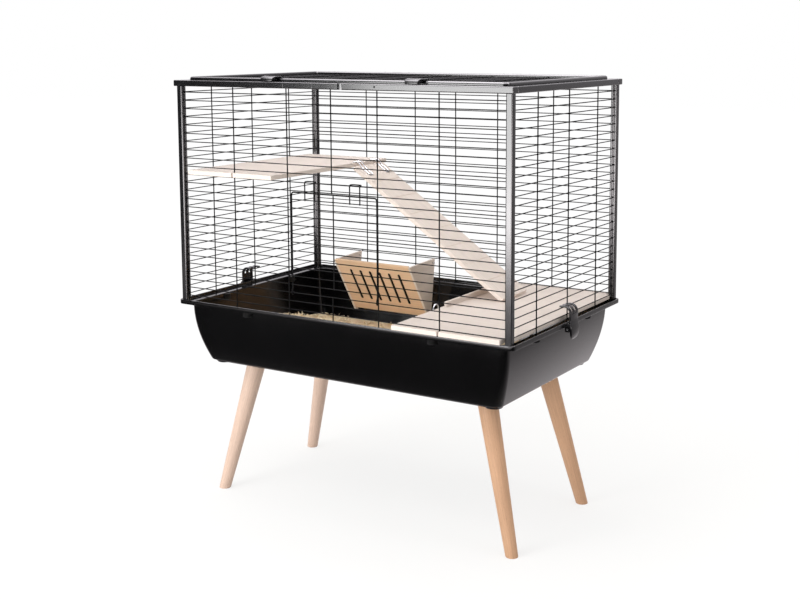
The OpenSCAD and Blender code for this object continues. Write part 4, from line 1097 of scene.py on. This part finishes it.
class CAGE_OT_fittings(bpy.types.Operator):
    """Makes the galvanised wires: the ramp's staples, the platform's loop and the rack's hooks"""
    bl_idname = "cage.fittings"
    bl_label = "Wire fittings"

    def execute(self, context):
        low, high = span("platform_loop")
        (x, middle, _), top, r, wire = (low + high) / 2, high[2], 9.75, 1.25
        arch_y, arch_z = r * arc(180, 0, 17).T
        arch = at(x, middle + arch_y, top - wire - r + arch_z)
        path = np.vstack([[x, middle - r, low[2]], arch, [x, middle + r, low[2]]])
        piece("platform_loop_wire", [tube(path, wire, 14)], galvanised_steel(), "platform_loop", 50)
        recoat(("ramp_hooks", "rack_hooks"), galvanised_steel())
        return {"FINISHED"}


# Stage.

SOFT, WHITE = "SMOOTHSTEP", (1, 1, 1, 1)


def by_ray(tree, eye, gloss, rest):
    """Shows the eye one shader, gloss another, and lights the rest with a third."""
    ray = add(tree, "LightPath")
    rest = add(tree, "MixShader", {0: ray["Is Glossy Ray"], 1: rest, 2: gloss})[0]
    return add(tree, "MixShader", {0: ray["Is Camera Ray"], 1: rest, 2: eye})[0]


def maths(tree, operation, *values):
    """A sum with sockets or numbers."""
    return add(tree, "Math", dict(enumerate(values)), operation=operation)[0]


def light_world(scene):
    """Plain light all round for the surfaces, white for the eye, and for gloss a white backdrop
    behind the object, a bright band overhead and a dark studio in front, as polished black shows."""
    scene.world = bpy.data.worlds.new("studio")
    scene.world.use_nodes = True
    tree = scene.world.node_tree
    tree.nodes.clear()

    def sky(tint, strength):
        return add(tree, "Background", {"Color": tint, "Strength": strength})[0]
    x, y, z = add(tree, "SeparateXYZ", {"Vector": add(tree, "TexCoord")["Generated"]})
    backdrop = maths(tree, "MULTIPLY", graded(tree, y, 0.015, 1.2, -0.3, 0.2, SOFT),
                     graded(tree, x, 1, 0.36, 0, 0.45))
    band = maths(tree, "MULTIPLY", graded(tree, z, 0, 11, 0.68, 0.84, SOFT),
                 graded(tree, z, 1, 0.08, 0.90, 0.97))
    gloss = sky(linear("#fbf6fb"), maths(tree, "MAXIMUM", backdrop, band))
    plain = sky(linear("#f6f5f2"), graded(tree, x, 1.05, 0.72, -1, 1))
    add(tree, "OutputWorld", {"Surface": by_ray(tree, sky(WHITE, 1.0), gloss, plain)})


def floor_shader(tree):
    """Pale paper. To the eye it is white but for a soft shadow near the object, and to gloss it is
    white behind the object, dark in front, and bright again at the foot of the soft box."""
    def glow(tint, strength):
        return add(tree, "Emission", {"Color": tint, "Strength": strength})[0]
    place = add(tree, "TexCoord")["Object"]
    x, y, _ = add(tree, "SeparateXYZ", {"Vector": place})
    paper = add(tree, "BsdfDiffuse", {"Color": linear("#f7f6f4")})[0]
    reach = add(tree, "VectorMath", {0: place}, operation="LENGTH")["Value"]
    share = graded(tree, reach, 0.72, 1.0, 0.5, 1.7, SOFT)
    seen = add(tree, "MixShader", {0: share, 1: paper, 2: glow(WHITE, 1.02)})[0]
    behind = maths(tree, "MULTIPLY", graded(tree, y, 0.02, 1.1, -0.5, 0.4, SOFT),
                   graded(tree, x, 1, 0.4, 0.3, 1))
    ahead = maths(tree, "POWER", graded(tree, y, 0, 1, -1.5, -3.3), 2.0)
    foot = maths(tree, "MULTIPLY", ahead, graded(tree, x, 0, 1, -2.5, -2.1))
    mirror = glow(linear("#fbf4f6"), maths(tree, "MULTIPLY_ADD", foot, 7.0, behind))
    return by_ray(tree, seen, mirror, paper)


def lay_floor():
    """One wide square of paper."""
    mesh, far = bpy.data.meshes.new("studio_floor"), 14.0
    mesh.from_pydata([(far * sx, far * sy, 0) for _, sx, sy in CORNERS], [], [(0, 1, 3, 2)])
    mesh.materials.append(material_of("studio_floor", floor_shader))
    placed("studio_floor", mesh)


def hang_lamps():
    """A soft box that stands on the floor at the front left, which the rail and the front right post
    mirror, and three soft lamps above. Each row: place, aim, width, height and brightness in the
    scene's own unit, where 1 is white."""
    for name, place, aim, wide, high, bright in (
            ("soft_box", (-1.4, -3.5, 0.95), (-1.4, 0, 0.95), 1.6, 1.9, 8.0),
            ("high", (-0.9, -2.3, 3.1), (0, 0, 0.5), 2.4, 1.8, 2.6),
            ("top", (-0.3, 0.1, 3.2), (0, 0, 0.4), 2.2, 2.2, 1.2),
            ("side", (3.3, -0.3, 1.9), (0, 0, 0.5), 1.4, 1.4, 1.7)):
        lamp = bpy.data.lights.new(name, "AREA")
        lamp.shape = "RECTANGLE"
        lamp.size, lamp.size_y = wide, high
        lamp.energy = bright * math.pi * wide * high
        made = placed(name, lamp)
        made.location = place
        made.rotation_euler = (Vector(aim) - Vector(place)).to_track_quat("-Z", "Y").to_euler()


def set_camera(scene):
    """The photograph's view: found from the cage's corners, with the lens shifted up as the
    photographer did. The focal length and the picture's centre are in pixels."""
    focal, centre_x, centre_y, wide, high, film = 1236.4, 421.2, 191.3, 800, 600, 36.0
    data = bpy.data.cameras.new("camera")
    data.sensor_width = film
    data.lens = film * focal / wide
    data.shift_x = (wide / 2 - centre_x) / wide
    data.shift_y = (centre_y - high / 2) / wide
    data.clip_start = 0.05
    scene.camera = placed("camera", data)
    yaw, pitch, roll = math.radians(31.722), math.radians(7.100), math.radians(-0.189)
    level = math.cos(pitch)
    ahead = Vector((-math.sin(yaw) * level, math.cos(yaw) * level, -math.sin(pitch)))
    right = Vector((math.cos(yaw), math.sin(yaw), 0.0))
    up = right.cross(ahead)
    c, s = math.cos(roll), math.sin(roll)
    right, up = c * right + s * up, c * up - s * right
    turn = Matrix((right, up, -ahead)).transposed()
    scene.camera.matrix_world = Matrix.Translation((1.3944, -2.1651, 0.9822)) @ turn.to_4x4()


class CAGE_OT_stage(bpy.types.Operator):
    """Makes the floor, the light and the camera"""
    bl_idname = "cage.stage"
    bl_label = "Stage"

    def execute(self, context):
        context.scene.view_settings.view_transform = "Standard"
        light_world(context.scene)
        lay_floor()
        hang_lamps()
        set_camera(context.scene)
        return {"FINISHED"}


class CAGE_PT_panel(bpy.types.Panel):
    """Lists the pieces and their settings"""
    bl_label = "Small Animal Cage"
    bl_idname = "CAGE_PT_panel"
    bl_space_type = "VIEW_3D"
    bl_region_type = "UI"
    bl_category = "Cage"

    def draw(self, context):
        column = self.layout.column()
        for operator in PIECES:
            column.operator(operator.bl_idname)
        for group in settings():
            box = column.box()
            for key in group.bl_rna.properties.keys():
                if key not in ("rna_type", "name"):
                    box.prop(group, key)


PIECES = (CAGE_OT_tray, CAGE_OT_litter, CAGE_OT_legs, CAGE_OT_boards, CAGE_OT_rack, CAGE_OT_frame,
          CAGE_OT_levers, CAGE_OT_wires, CAGE_OT_door, CAGE_OT_fittings, CAGE_OT_stage)
GROUPS = (("cage_tray", CageTraySettings), ("cage_wire", CageWireSettings),
          ("cage_frame", CageFrameSettings), ("cage_wood", CageWoodSettings))


def register():
    for name, group in GROUPS:
        bpy.utils.register_class(group)
        setattr(bpy.types.Scene, name, bpy.props.PointerProperty(type=group))
    for operator in PIECES + (CAGE_PT_panel,):
        bpy.utils.register_class(operator)


def unregister():
    for operator in reversed(PIECES + (CAGE_PT_panel,)):
        bpy.utils.unregister_class(operator)
    for name, group in reversed(GROUPS):
        delattr(bpy.types.Scene, name)
        bpy.utils.unregister_class(group)


def main():
    register()
    for operator in PIECES:
        family, call = operator.bl_idname.split(".")
        getattr(getattr(bpy.ops, family), call)()


if __name__ == "__main__":
    main()
